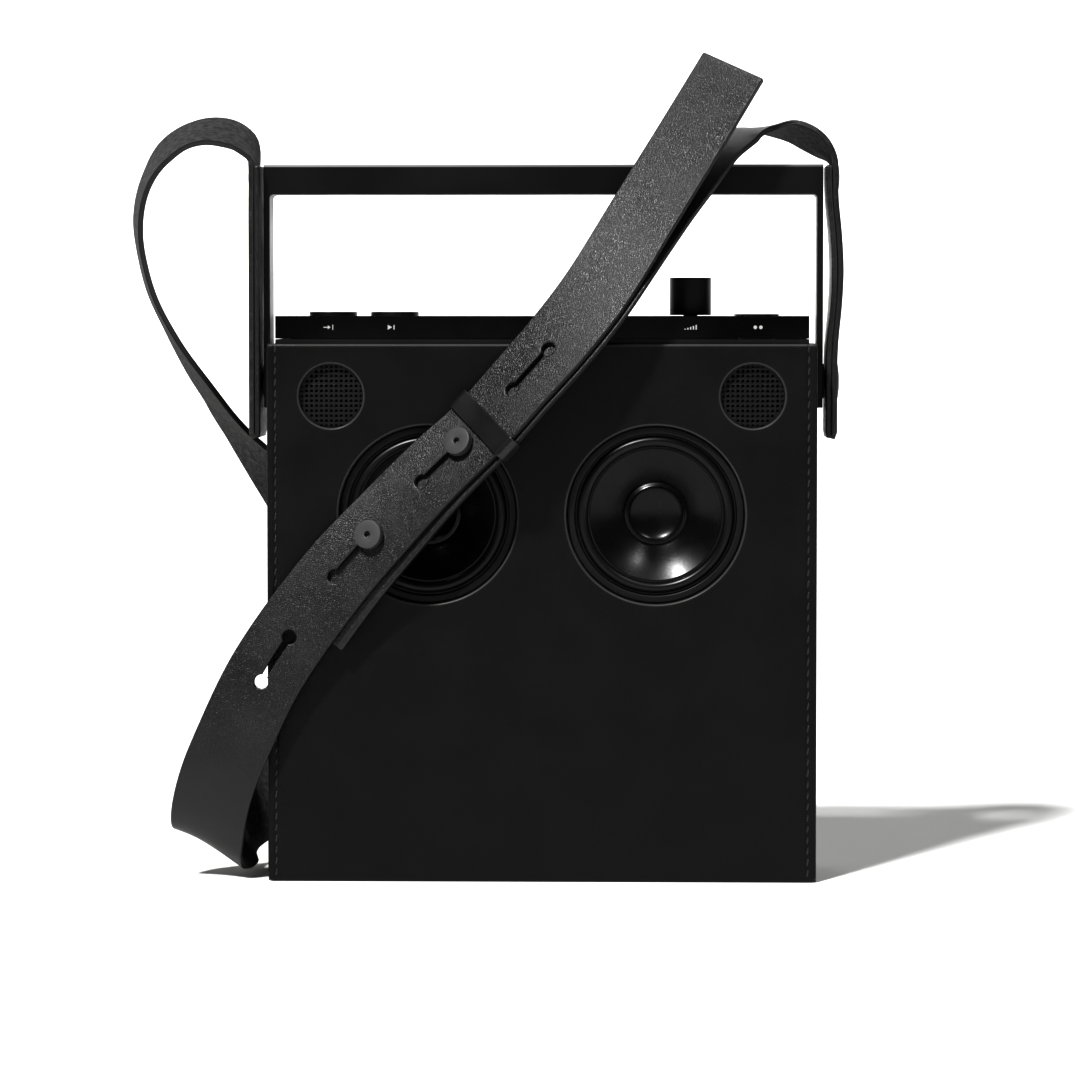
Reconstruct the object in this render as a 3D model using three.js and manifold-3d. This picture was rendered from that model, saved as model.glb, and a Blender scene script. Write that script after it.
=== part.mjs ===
// Portable loudspeaker radio in a stitched leather sleeve, with a carrying handle and a shoulder strap.
// Millimetres, +Z up, the front faces -Y. The origin is the middle of the sleeve's flat underside.
import * as THREE from "three";
import { mergeVertices } from "three/addons/utils/BufferGeometryUtils.js";
import Module from "manifold-3d";

const wasm = await Module();
wasm.setup();

// ---------- driving sizes ----------
const gap = 0.3; // clearance between pieces that touch

const cabinetWidth = 231;
const cabinetDepth = 58.4;
const cabinetTop = 245.6; // top of the glossy cap above the floor
const capHeight = 9.8;
const wall = 2.5;
const baffleThickness = 6;

const sleeveLeather = 3;
const sleeveDrop = 2.3; // from the cap's lower edge down to the sleeve's rim
const sleeveCorner = 2.5;

const wooferHole = 38.7; // radius of the round window in the leather
const wooferSpacing = cabinetWidth * 0.427;
const wooferDrop = 86; // from the top of the cap down to the woofers
const basketDepth = 22;
const magnetRadius = 21;
const magnetHeight = 15;
const coneThrow = 2.5;

const tweeterHole = 13.9;
const tweeterInset = 24.3; // from the cabinet's side
const tweeterDrop = 34.6;

const buttonRadius = 10.5;
const buttonProud = 1.8;
const buttonTravel = 1.2;
const knobRadius = 9.05;
const knobHeight = 16.4;
const tapeRadius = 10;
const tapeProud = 0.8;
const inputInset = 23.1; // from the cabinet's left side
const playInset = 50.2;
const tapeInset = 22.1; // from the cabinet's right side
const volumeInset = 51.1;

const pivotDrop = 28.6; // from the top of the cap
const armThickness = 2.7;
const armDepth = 20;
const barHeight = 13;
const gripRoom = 52.9; // from the cap up to the bar
const armTail = 11.5; // how far each arm runs below its pivot
const handleFillet = 1.7;
const bushRadius = 5.7;
const screwRadius = 3;
const screwHeadRadius = 7.8;
const washerRadius = 7.6;
const washerThickness = 0.6;

const strapWidth = 33.5;
const strapLeather = 2.4;
const layerGap = 0.4;
const rivetHeadRadius = 5.9;
const rivetRadius = 1.6;
const slotHole = 3.1;
const slotNeck = 1.3;
const slotLength = 23; // between the centres of a slot's two round holes
const slotPitch = 56;
const studHeadRadius = 6.2;
const studHeadThickness = 3.4;
const studPost = 1.9;
const studGap = 0.8; // the leather bends a little under each head
const studPull = 0.8; // the load holds each post against the upper end of its slot
const stepLength = 7; // the finest step along a strap
const keeperLength = 10;
const keeperAfter = 2.4; // from the upper stud's head to the keeper
const keeperLeather = 1.5;

const antennaRadius = 2.6;
const antennaWall = 0.35;
const antennaGroove = 7;

// ---------- dependent places ----------
const sleeveWidth = cabinetWidth + 2 * (sleeveLeather + 0.5);
const sleeveDepth = cabinetDepth + 2 * (sleeveLeather + gap);
const sleeveFront = -sleeveDepth / 2;
const sleeveSide = sleeveWidth / 2;
const footHeight = 1.2;
const cabinetBottom = sleeveLeather + 2 * gap + footHeight;
const capBottom = cabinetTop - capHeight;
const bodyTop = capBottom - gap;
const sleeveHeight = capBottom - sleeveDrop;
const wooferHeight = cabinetTop - wooferDrop;
const tweeterSpacing = cabinetWidth - 2 * tweeterInset;
const tweeterHeight = cabinetTop - tweeterDrop;
const inputX = -cabinetWidth / 2 + inputInset;
const playX = -cabinetWidth / 2 + playInset;
const volumeX = cabinetWidth / 2 - volumeInset;
const tapeX = cabinetWidth / 2 - tapeInset;
const pivotHeight = cabinetTop - pivotDrop;
const barBottom = cabinetTop + gripRoom;
const barTop = barBottom + barHeight;
const cabinetFront = -cabinetDepth / 2;
const cabinetBack = cabinetDepth / 2;
const baffleBack = cabinetFront + baffleThickness;
const armInside = sleeveSide + 0.4;
const armOutside = armInside + armThickness;
const strapInside = armOutside + washerThickness + 0.5;
const doubled = 2 * strapLeather + 0.2;
const strapOutside = strapInside + doubled;

// ---------- solid helpers ----------
function solid(geometry) {
  const bare = geometry.index ? geometry.toNonIndexed() : geometry.clone();
  bare.deleteAttribute("normal");
  bare.deleteAttribute("uv");
  const merged = mergeVertices(bare, 1e-4);
  const mesh = new wasm.Mesh({
    numProp: 3,
    vertProperties: merged.attributes.position.array,
    triVerts: new Uint32Array(merged.index.array),
  });
  return new wasm.Manifold(mesh);
}

function geometryOf(body) {
  const mesh = body.getMesh();
  const geometry = new THREE.BufferGeometry();
  geometry.setAttribute("position", new THREE.BufferAttribute(mesh.vertProperties, 3));
  geometry.setIndex(new THREE.BufferAttribute(mesh.triVerts, 1));
  return geometry.toNonIndexed();
}

function cut(geometry, ...tools) {
  let body = solid(geometry);
  for (const tool of tools) body = body.subtract(solid(tool));
  return geometryOf(body);
}

function join(geometry, ...others) {
  let body = solid(geometry);
  for (const other of others) body = body.add(solid(other));
  return geometryOf(body);
}

// A box given by its lowest and highest corners.
function block(low, high) {
  const size = high.map((value, i) => value - low[i]);
  const middle = high.map((value, i) => (value + low[i]) / 2);
  return new THREE.BoxGeometry(...size).translate(...middle);
}

// A round bar along "x", "y" or "z" from one coordinate to another.
function rod(axis, radius, from, to, centre, faces = 20) {
  const bar = new THREE.CylinderGeometry(radius, radius, to - from, faces);
  if (axis === "x") bar.rotateZ(-Math.PI / 2);
  if (axis === "z") bar.rotateX(Math.PI / 2);
  const place = { x: [0, ...centre], y: [centre[0], 0, centre[1]], z: [...centre, 0] }[axis];
  place["xyz".indexOf(axis)] = (from + to) / 2;
  return bar.translate(...place);
}

// A rounded rectangle in the X-Z plane, standing from one depth to another.
function panel(width, bottom, top, radius, front, back) {
  const shape = new THREE.Shape();
  const half = width / 2;
  shape.moveTo(-half + radius, bottom);
  shape.lineTo(half - radius, bottom);
  shape.absarc(half - radius, bottom + radius, radius, -Math.PI / 2, 0);
  shape.absarc(half - radius, top - radius, radius, 0, Math.PI / 2);
  shape.absarc(-half + radius, top - radius, radius, Math.PI / 2, Math.PI);
  shape.absarc(-half + radius, bottom + radius, radius, Math.PI, 1.5 * Math.PI);
  const plate = new THREE.ExtrudeGeometry(shape, {
    depth: back - front,
    bevelEnabled: false,
    curveSegments: 4,
  });
  return plate.rotateX(Math.PI / 2).translate(0, back, 0);
}

// A turned piece: [radius, along] pairs round the axis, whose "along" runs in +Y.
function turned(profile, faces = 24) {
  const points = profile.map(([radius, along]) => new THREE.Vector2(radius, along));
  const lathe = new THREE.LatheGeometry(points, faces);
  const body = solid(lathe);
  if (body.volume() > 0) return geometryOf(body);
  const turnedOver = new THREE.LatheGeometry(points.reverse(), faces);
  return geometryOf(solid(turnedOver));
}

// ---------- the assembly ----------
const radio = new THREE.Group();

const finishes = {
  sleeveLeather: { color: 0x141414, roughness: 0.5, metalness: 0 },
  strapLeather: { color: 0x181818, roughness: 0.45, metalness: 0 },
  glossBlack: { color: 0x08080a, roughness: 0.15, metalness: 0 },
  mattBlack: { color: 0x101012, roughness: 0.6, metalness: 0 },
  blackMetal: { color: 0x121214, roughness: 0.4, metalness: 0.8 },
  rubber: { color: 0x0c0c0c, roughness: 0.7, metalness: 0 },
  cone: { color: 0x0e0e10, roughness: 0.35, metalness: 0 },
  steel: { color: 0x9a9aa0, roughness: 0.3, metalness: 1 },
  magnet: { color: 0x4a4a4e, roughness: 0.4, metalness: 0.9 },
  circuit: { color: 0x14402a, roughness: 0.5, metalness: 0 },
  battery: { color: 0x2a3a55, roughness: 0.5, metalness: 0 },
};

function add(name, geometry, finish, place = [0, 0, 0], turn = [0, 0, 0], parent = radio) {
  const mesh = new THREE.Mesh(geometry, new THREE.MeshStandardMaterial(finishes[finish]));
  mesh.name = name;
  mesh.position.set(...place);
  mesh.rotation.set(...turn);
  parent.add(mesh);
  return mesh;
}

// ---------- leather sleeve ----------
const sides = [
  { side: "left", sign: -1 },
  { side: "right", sign: 1 },
];

const windows = sides.flatMap(({ sign }) => [
  rod("y", wooferHole, sleeveFront - 1, 0, [(sign * wooferSpacing) / 2, wooferHeight], 40),
  rod("y", tweeterHole, sleeveFront - 1, 0, [(sign * tweeterSpacing) / 2, tweeterHeight], 24),
]);
add(
  "sleeve_front_panel",
  cut(
    panel(sleeveWidth, 0, sleeveHeight, sleeveCorner, sleeveFront, sleeveFront + sleeveLeather),
    ...windows,
  ),
  "sleeveLeather",
);

const hatchWidth = 96;
const hatchBottom = 24;
const hatchTop = 54;
const hatch = panel(hatchWidth, hatchBottom, hatchTop, 6, 0, sleeveDepth);
add(
  "sleeve_back_panel",
  cut(
    panel(sleeveWidth, 0, sleeveHeight, sleeveCorner, -sleeveFront - sleeveLeather, -sleeveFront),
    hatch,
  ),
  "sleeveLeather",
);

// One long strip makes both sides and the bottom.
const gussetHalf = sleeveDepth / 2 - sleeveLeather - gap;
const pivotWindow = rod("x", bushRadius + 1.3, -200, 200, [0, pivotHeight]);
add(
  "sleeve_gusset",
  cut(
    block([-sleeveSide, -gussetHalf, 0], [sleeveSide, gussetHalf, sleeveHeight]),
    block(
      [-sleeveSide + sleeveLeather, -gussetHalf - 1, sleeveLeather],
      [sleeveSide - sleeveLeather, gussetHalf + 1, sleeveHeight + 1],
    ),
    pivotWindow,
  ),
  "sleeveLeather",
);

// ---------- cabinet ----------
const screwBore = screwRadius + 0.4;
const sideBoss = 8; // length of the moulded boss that takes each pivot screw
const portPlateWidth = 88;
const portPlateHeight = 22;
const portMiddle = (hatchBottom + hatchTop) / 2;
const powerX = portPlateWidth / 2 - 9;
const powerRadius = 4.5;
const shellFront = baffleBack + gap;

const shellCavity = block(
  [-cabinetWidth / 2 + wall, shellFront - 1, cabinetBottom + wall],
  [cabinetWidth / 2 - wall, cabinetBack - wall, bodyTop + 1],
);
const shellBlock = block(
  [-cabinetWidth / 2, shellFront, cabinetBottom],
  [cabinetWidth / 2, cabinetBack, bodyTop],
);
const bossEnd = cabinetWidth / 2 - wall - sideBoss;
const bosses = [
  rod("x", screwRadius + 3, -cabinetWidth / 2 + 1, -bossEnd, [0, pivotHeight]),
  rod("x", screwRadius + 3, bossEnd, cabinetWidth / 2 - 1, [0, pivotHeight]),
];
add(
  "rear_shell",
  cut(
    join(cut(shellBlock, shellCavity), ...bosses),
    rod("x", screwBore, -200, 200, [0, pivotHeight]),
    panel(
      portPlateWidth + 2 * gap,
      portMiddle - portPlateHeight / 2 - gap,
      portMiddle + portPlateHeight / 2 + gap,
      3,
      0,
      cabinetBack + 1,
    ),
  ),
  "mattBlack",
);

const flangeRadius = wooferHole - 0.4;
const flangeRecess = 3.2;
const surroundRadius = flangeRadius - 3.5; // outer edge of the rubber roll
const basketMouth = surroundRadius + 1.2;
const grilleRadius = tweeterHole + 1.1;
const grilleThickness = 0.9;
const tweeterRadius = 12.5;
const grilleSeat = cabinetFront + grilleThickness + gap;
const baffleCuts = sides.flatMap(({ sign }) => {
  const wooferAt = [(sign * wooferSpacing) / 2, wooferHeight];
  const tweeterAt = [(sign * tweeterSpacing) / 2, tweeterHeight];
  return [
    rod("y", basketMouth + gap, cabinetFront - 1, baffleBack + 1, wooferAt, 32),
    rod("y", flangeRadius + gap, cabinetFront - 1, cabinetFront + flangeRecess, wooferAt, 32),
    rod("y", tweeterRadius + gap, cabinetFront - 1, baffleBack + 1, tweeterAt, 24),
    rod("y", grilleRadius + gap, cabinetFront - 1, grilleSeat, tweeterAt, 24),
  ];
});
add(
  "front_baffle",
  cut(
    block(
      [-cabinetWidth / 2, cabinetFront, cabinetBottom],
      [cabinetWidth / 2, baffleBack, bodyTop],
    ),
    ...baffleCuts,
  ),
  "mattBlack",
);

// The cap is a glossy tray turned upside down, with a groove along its back edge for the antenna.
// The groove is open at its right end, so that the antenna can be drawn out while it lies flat.
const capWall = 2.2;
const antennaY = cabinetBack - antennaGroove / 2 + 0.3;
const antennaZ = capBottom + 6.4;
const antennaPivotX = -cabinetWidth / 2 + 12;
const antennaPinRadius = 1.2;
const grooveFront = cabinetBack - antennaGroove;
const grooveFloor = antennaZ - antennaRadius - 0.9;
const capHoles = [
  rod("z", buttonRadius + gap, capBottom, cabinetTop + 1, [inputX, 0], 24),
  rod("z", buttonRadius + gap, capBottom, cabinetTop + 1, [playX, 0], 24),
  rod("z", 3.6, capBottom, cabinetTop + 1, [volumeX, 0]),
  rod("z", tapeRadius + gap, capBottom, cabinetTop + 1, [tapeX, 0], 24),
];
const capHalf = cabinetWidth / 2;
add(
  "top_cap",
  cut(
    block([-capHalf, cabinetFront, capBottom], [capHalf, cabinetBack, cabinetTop]),
    block(
      [-capHalf + capWall, cabinetFront + capWall, capBottom - 1],
      [capHalf - capWall, grooveFront - capWall, cabinetTop - capWall],
    ),
    block(
      [antennaPivotX - 5, grooveFront, grooveFloor],
      [capHalf + 1, cabinetBack + 1, cabinetTop + 1],
    ),
    rod("y", antennaPinRadius + gap, grooveFront - 3, grooveFront + 1, [antennaPivotX, antennaZ], 12),
    ...capHoles,
  ),
  "glossBlack",
);

for (const { side, sign } of sides)
  add(
    "foot_pad_" + side,
    panel(26, -9, 9, 5, 0, footHeight),
    "rubber",
    [sign * (cabinetWidth / 2 - 32), 0, sleeveLeather + gap],
    [Math.PI / 2, 0, 0],
  );

// ---------- woofers ----------
// Each profile is [radius, depth behind the cabinet's front].
const flangeFront = gap;
const flangeBack = flangeRecess - gap;
const rollRadius = 2.4;
const rollMiddle = surroundRadius - rollRadius - 0.6;
const coneEdge = rollMiddle - rollRadius - 0.9;
const coilRadius = 12.6;
const capRadius = 12;
const coneDepth = 12;
const basketBack = flangeBack + basketDepth;
const coneFront = 2.8;
const steelLip = 1.5;
const archSteps = 4;
for (const { side, sign } of sides) {
  const at = [(sign * wooferSpacing) / 2, cabinetFront, wooferHeight];
  add(
    "woofer_basket_" + side,
    turned([
      [flangeRadius, flangeFront],
      [flangeRadius, flangeBack],
      [basketMouth, flangeBack],
      [basketMouth - 2, flangeBack + 8],
      [magnetRadius + 1, basketBack],
      [coilRadius + 2.4, basketBack],
      [coilRadius + 2.4, basketBack - steelLip],
      [magnetRadius, basketBack - steelLip],
      [basketMouth - 3.8, flangeBack + 7.4],
      [surroundRadius + gap, flangeBack],
      [surroundRadius + gap, flangeFront],
      [flangeRadius, flangeFront],
    ]),
    "blackMetal",
    at,
  );
  const arch = [];
  const hollow = [];
  for (let step = 0; step <= archSteps; step++) {
    const angle = (Math.PI * step) / archSteps;
    const outwards = rollRadius * Math.cos(angle);
    const forwards = rollRadius * Math.sin(angle);
    arch.push([rollMiddle + outwards, coneFront - forwards]);
    hollow.unshift([rollMiddle + outwards * 0.7, coneFront - forwards * 0.7 + 0.5]);
  }
  const roll = [
    [surroundRadius, coneFront],
    ...arch,
    [coneEdge + gap, coneFront],
    [coneEdge + gap, coneFront + 0.8],
    ...hollow,
    [surroundRadius, coneFront + 0.8],
    [surroundRadius, coneFront],
  ];
  add("woofer_surround_" + side, turned(roll), "rubber", at);
  add(
    "woofer_cone_" + side,
    turned([
      [0, coneDepth + 2.8],
      [capRadius * 0.7, coneDepth + 1.8],
      [capRadius, coneDepth - 0.6],
      [capRadius + 1.5, coneDepth + 1],
      [coneEdge * 0.72, coneDepth * 0.56],
      [coneEdge, coneFront],
      [coneEdge, coneFront + 1],
      [coneEdge * 0.72, coneDepth * 0.56 + 1.2],
      [coilRadius + 0.3, coneDepth + 3],
      [coilRadius + 0.3, basketBack + 4],
      [coilRadius - 0.5, basketBack + 4],
      [coilRadius - 0.5, coneDepth + 2.2],
      [capRadius * 0.7, coneDepth + 3],
      [0, coneDepth + 3.8],
    ]),
    "cone",
    at,
  );
  const slotOuter = coilRadius + 1.2;
  const slotInner = coilRadius - 1.4;
  const magnetFront = basketBack + gap;
  const slotFloor = magnetFront + 4 + coneThrow + 2;
  add(
    "woofer_magnet_" + side,
    turned([
      [0, magnetFront],
      [slotInner, magnetFront],
      [slotInner, slotFloor],
      [slotOuter, slotFloor],
      [slotOuter, magnetFront],
      [magnetRadius, magnetFront],
      [magnetRadius, magnetFront + magnetHeight],
      [0, magnetFront + magnetHeight],
    ]),
    "magnet",
    at,
  );
}

// ---------- tweeters ----------
for (const { side, sign } of sides) {
  const at = [(sign * tweeterSpacing) / 2, cabinetFront, tweeterHeight];
  add(
    "tweeter_grille_" + side,
    turned([
      [0, 0],
      [grilleRadius, 0],
      [grilleRadius, grilleThickness],
      [0, grilleThickness],
    ]),
    "blackMetal",
    at,
  );
  add(
    "tweeter_" + side,
    turned([
      [0, 2.4],
      [5, 3.2],
      [8, 5.4],
      [9.4, 5.4],
      [tweeterRadius, grilleThickness + 2 * gap],
      [tweeterRadius, 14],
      [8, 14],
      [8, 20],
      [0, 20],
    ]),
    "mattBlack",
    at,
  );
}

// ---------- electronics ----------
const boardTop = capBottom + 2.4;
const boardThickness = 1.6;
const stemClear = 0.8;
add(
  "control_board",
  block(
    [-capHalf + capWall + 3, cabinetFront + capWall + 3, boardTop - boardThickness],
    [tapeX - tapeRadius - 4, grooveFront - capWall - 2, boardTop],
  ),
  "circuit",
);
add(
  "volume_encoder",
  cut(
    block([volumeX - 6, -6, boardTop + gap], [volumeX + 6, 6, boardTop + 3]),
    rod("z", 3 + stemClear, boardTop + 1.2, boardTop + 4, [volumeX, 0], 16),
  ),
  "steel",
);
const motorTop = capBottom + 0.8;
add(
  "tape_motor",
  rod("z", 8, motorTop - 16, motorTop, [tapeX, 0]),
  "steel",
);
const boardHeight = 56;
const boardAt = [0, cabinetBack - wall - 6, hatchTop + 6 + boardHeight / 2];
const boardHalf = cabinetWidth * 0.31;
add(
  "amplifier_board",
  block(
    [-boardHalf, -boardThickness / 2, -boardHeight / 2],
    [boardHalf, boardThickness / 2, boardHeight / 2],
  ),
  "circuit",
  boardAt,
);
const sinkHalf = 3.4;
add(
  "heat_sink",
  cut(
    block([-34, -sinkHalf, -20], [34, sinkHalf, 20]),
    ...[-2, -1, 0, 1, 2].map((n) => block([n * 12 - 2.4, -4, -21], [n * 12 + 2.4, 1.2, 21])),
  ),
  "blackMetal",
  [0, boardAt[1] - boardThickness / 2 - sinkHalf - gap, boardAt[2]],
);
const batteryBottom = 43;
const batteryTop = wooferHeight - flangeRadius - 24;
const batteryFront = baffleBack + 5;
const batteryBack = boardAt[1] - boardThickness / 2 - 2 * sinkHalf - 9;
add(
  "battery_pack",
  panel(cabinetWidth * 0.65, batteryBottom, batteryTop, 6, batteryFront, batteryBack),
  "battery",
);
const plateDepth = 1.6;
add(
  "port_plate",
  cut(
    panel(
      portPlateWidth,
      portMiddle - portPlateHeight / 2,
      portMiddle + portPlateHeight / 2,
      3,
      cabinetBack - plateDepth,
      cabinetBack,
    ),
    rod("y", powerRadius + gap, 0, 99, [powerX, portMiddle], 20),
    rod("y", 3.4, 0, 99, [-powerX, portMiddle], 16),
    rod("y", 1.9, 0, 99, [-powerX + 16, portMiddle], 12),
    panel(9.4, portMiddle - 1.8, portMiddle + 1.8, 1.7, 0, 99),
  ),
  "mattBlack",
);
add(
  "power_button",
  rod("y", powerRadius, cabinetBack - 3.2, cabinetBack + 0.8, [powerX, portMiddle], 20),
  "mattBlack",
);

// ---------- controls on the cap ----------
for (const [name, x] of [["input_button", inputX], ["play_button", playX]])
  add(
    name,
    turned([
      [0, boardTop + 1.6 + buttonTravel],
      [buttonRadius, boardTop + 1.6 + buttonTravel],
      [buttonRadius, cabinetTop + buttonProud - 0.5],
      [buttonRadius - 0.6, cabinetTop + buttonProud],
      [buttonRadius * 0.6, cabinetTop + buttonProud - 0.7],
      [0, cabinetTop + buttonProud - 1],
    ]),
    "mattBlack",
    [x, 0, 0],
    [Math.PI / 2, 0, 0],
  );
add(
  "volume_knob",
  turned([
    [0, boardTop + 1.6],
    [3, boardTop + 1.6],
    [3, cabinetTop + gap],
    [knobRadius, cabinetTop + gap],
    [knobRadius, cabinetTop + gap + knobHeight - 0.4],
    [knobRadius - 0.4, cabinetTop + gap + knobHeight],
    [0, cabinetTop + gap + knobHeight],
  ]),
  "mattBlack",
  [volumeX, 0, 0],
  [Math.PI / 2, 0, 0],
);
add(
  "tape_disc",
  turned([
    [0, motorTop + gap],
    [2, motorTop + gap],
    [2, cabinetTop - 3],
    [tapeRadius, cabinetTop - 3],
    [tapeRadius, cabinetTop + tapeProud - 0.3],
    [tapeRadius - 0.4, cabinetTop + tapeProud],
    [0, cabinetTop + tapeProud],
  ]),
  "glossBlack",
  [tapeX, 0, 0],
  [Math.PI / 2, 0, 0],
);

// ---------- telescopic antenna ----------
const antennaEnd = capHalf - 14;
const middleRadius = antennaRadius - antennaWall - gap;
const innerRadius = middleRadius - antennaWall - gap;
const tubeStart = antennaPivotX + 4;
const antennaLine = [antennaY, antennaZ];
const antennaSides = 12;
add(
  "antenna_pin",
  rod("y", antennaPinRadius, grooveFront - 1.5, antennaY + 2.4, [antennaPivotX, antennaZ], 12),
  "steel",
);
add(
  "antenna_outer_tube",
  cut(
    join(
      rod("x", antennaRadius, tubeStart - 3, antennaEnd, antennaLine, antennaSides),
      rod("y", 3, antennaY - 2.4, antennaY + 2.4, [antennaPivotX, antennaZ], 16),
    ),
    rod("y", antennaPinRadius + gap, antennaY - 9, antennaY + 9, [antennaPivotX, antennaZ], 12),
    rod("x", antennaRadius - antennaWall, tubeStart + 4, antennaEnd + 1, antennaLine, antennaSides),
  ),
  "steel",
);
add(
  "antenna_middle_tube",
  cut(
    rod("x", middleRadius, tubeStart + 6, antennaEnd + 2, antennaLine, antennaSides),
    rod("x", middleRadius - antennaWall, tubeStart + 9, antennaEnd + 3, antennaLine, antennaSides),
  ),
  "steel",
);
add(
  "antenna_tip_rod",
  join(
    rod("x", innerRadius, tubeStart + 12, antennaEnd + 4, antennaLine, antennaSides),
    rod("x", antennaRadius, antennaEnd + 3, antennaEnd + 8, antennaLine, antennaSides),
  ),
  "steel",
);

// ---------- carrying handle ----------
// One piece of metal: a bar across the top and a flat arm down each side.
const handleFoot = pivotHeight - armTail;
const outline = new THREE.Shape();
outline.moveTo(-armOutside, handleFoot);
outline.lineTo(-armInside, handleFoot);
outline.lineTo(-armInside, barBottom - handleFillet);
const filletZ = barBottom - handleFillet;
outline.absarc(-armInside + handleFillet, filletZ, handleFillet, Math.PI, Math.PI / 2, true);
outline.lineTo(armInside - handleFillet, barBottom);
outline.absarc(armInside - handleFillet, filletZ, handleFillet, Math.PI / 2, 0, true);
outline.lineTo(armInside, handleFoot);
outline.lineTo(armOutside, handleFoot);
outline.lineTo(armOutside, barTop);
outline.lineTo(-armOutside, barTop);
const handleBlank = new THREE.ExtrudeGeometry(outline, {
  depth: armDepth,
  bevelEnabled: false,
  curveSegments: 4,
})
  .rotateX(Math.PI / 2)
  .translate(0, armDepth / 2, 0);
add(
  "carry_handle",
  cut(handleBlank, rod("x", bushRadius + gap, -200, 200, [0, pivotHeight])),
  "blackMetal",
);

// ---------- pivots ----------
const bushStart = cabinetWidth / 2 + gap;
const screwTip = cabinetWidth / 2 - wall - sideBoss + 1;
for (const { side, sign } of sides) {
  const hub = new THREE.Group();
  hub.position.set(0, 0, pivotHeight);
  hub.rotation.z = sign < 0 ? Math.PI : 0;
  radio.add(hub);
  const centre = [0, 0];
  add(
    "pivot_bush_" + side,
    cut(
      rod("x", bushRadius, bushStart, armOutside, centre),
      rod("x", screwBore, bushStart - 1, armOutside + 1, centre, 16),
    ),
    "steel",
    [0, 0, 0],
    [0, 0, 0],
    hub,
  );
  add(
    "pivot_washer_" + side,
    cut(
      rod("x", washerRadius, armOutside + 0.2, armOutside + 0.2 + washerThickness, centre),
      rod("x", screwBore, armOutside - 1, armOutside + 3, centre, 16),
    ),
    "blackMetal",
    [0, 0, 0],
    [0, 0, 0],
    hub,
  );
  add(
    "pivot_screw_" + side,
    join(
      rod("x", screwRadius, screwTip, strapOutside + gap + 0.5, centre, 16),
      rod("x", screwHeadRadius, strapOutside + gap, strapOutside + gap + 1, centre),
    ),
    "blackMetal",
    [0, 0, 0],
    [0, 0, 0],
    hub,
  );
}

// ---------- shoulder strap ----------
// A strap is a ribbon through stations. "across" points to the edge that faces the viewer where the
// strap is seen edge-on, and to the lower right edge where it lies on the front.
function station(at, across, plies = 1) {
  return {
    at: new THREE.Vector3(...at),
    across: new THREE.Vector3(...across).normalize(),
    thick: plies === 2 ? doubled : strapLeather,
  };
}

// Fills in the stations with smooth curves. Every step knows its place, counted in stations.
function route(stations) {
  const path = new THREE.CatmullRomCurve3(stations.map((s) => s.at), false, "centripetal");
  const lean = new THREE.CatmullRomCurve3(stations.map((s) => s.across), false, "centripetal");
  const spans = stations.length - 1;
  const steps = [];
  for (let span = 0; span < spans; span++) {
    const length = stations[span].at.distanceTo(stations[span + 1].at);
    const count = THREE.MathUtils.clamp(Math.round(length / stepLength), 1, 3);
    for (let i = 0; i < count + (span === spans - 1 ? 1 : 0); i++) {
      const place = span + i / count;
      const along = path.getTangent(place / spans);
      const across = lean.getPoint(place / spans);
      across.addScaledVector(along, -across.dot(along)).normalize();
      const normal = new THREE.Vector3().crossVectors(along, across);
      const thick = Math.min(stations[span].thick, stations[span + 1].thick);
      steps.push({ at: path.getPoint(place / spans), along, across, normal, thick, place });
    }
  }
  return steps;
}

// Sweeps a flat rectangle along the steps. Both broad faces are split along the same diagonal,
// so that two straps lying on each other keep their gap where they twist.
const ribbonCorners = [[1, 1], [1, -1], [-1, -1], [-1, 1]];
function ribbon(steps, width) {
  const corners = [];
  for (const { at, across, normal, thick } of steps)
    for (const [side, face] of ribbonCorners) {
      const corner = at.clone();
      corner.addScaledVector(across, (side * width) / 2);
      corner.addScaledVector(normal, (face * thick) / 2);
      corners.push(...corner.toArray());
    }
  const faces = [];
  for (let i = 0; i < steps.length - 1; i++)
    for (let k = 0; k < 4; k++) {
      const a = 4 * i + k;
      const b = 4 * i + ((k + 1) % 4);
      if (k === 3) faces.push(a, a + 4, b + 4, a, b + 4, b);
      else faces.push(a, a + 4, b, b, a + 4, b + 4);
    }
  const last = 4 * (steps.length - 1);
  faces.push(0, 2, 3, 0, 1, 2, last, last + 2, last + 1, last, last + 3, last + 2);
  const positions = new THREE.Float32BufferAttribute(corners, 3);
  return new THREE.BufferGeometry().setAttribute("position", positions).setIndex(faces);
}

// The straps' free shapes are drawn round a radio of these sizes, and stretch with the real one.
const drawnOutside = 128.3;
const drawnDepth = 65;
const drawnTop = 311.5;
function free(x, y, z, across) {
  const stretched = [
    (x * strapOutside) / drawnOutside,
    (y * sleeveDepth) / drawnDepth,
    (z * barTop) / drawnTop,
  ];
  return station(stretched, across);
}

// A station over the handle's bar, which keeps its distance from the bar when the radio's depth changes.
function overBar(x, y, z, across) {
  const stretched = [(x * strapOutside) / drawnOutside, y, (z * barTop) / drawnTop];
  return station(stretched, across);
}

// A station behind the sleeve. The leaning strap's near edge keeps "clear" from the leather.
function behind(x, clear, z, across) {
  const lean = Math.abs(new THREE.Vector3(...across).normalize().y);
  const y = sleeveDepth / 2 + (lean * strapWidth) / 2 + strapLeather / 2 + clear;
  return station([(x * strapOutside) / drawnOutside, y, (z * barTop) / drawnTop], across);
}

// The short strap lies behind the long one on the front, and the keeper goes round both.
const layerDrop = strapLeather + layerGap;
const aside = 1.5; // how far the short strap's lower right edge shows past the long one
const swing = 1.05; // and how much further it shows for each station below the keeper
const keeperStation = 5;
const keeperSide = 0.7;
const keeperRoom = 0.5;
const keeperReach = strapWidth / 2 + keeperSide + keeperLeather;
const keeperDepth = layerDrop + strapLeather / 2 + keeperRoom + keeperLeather;

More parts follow.
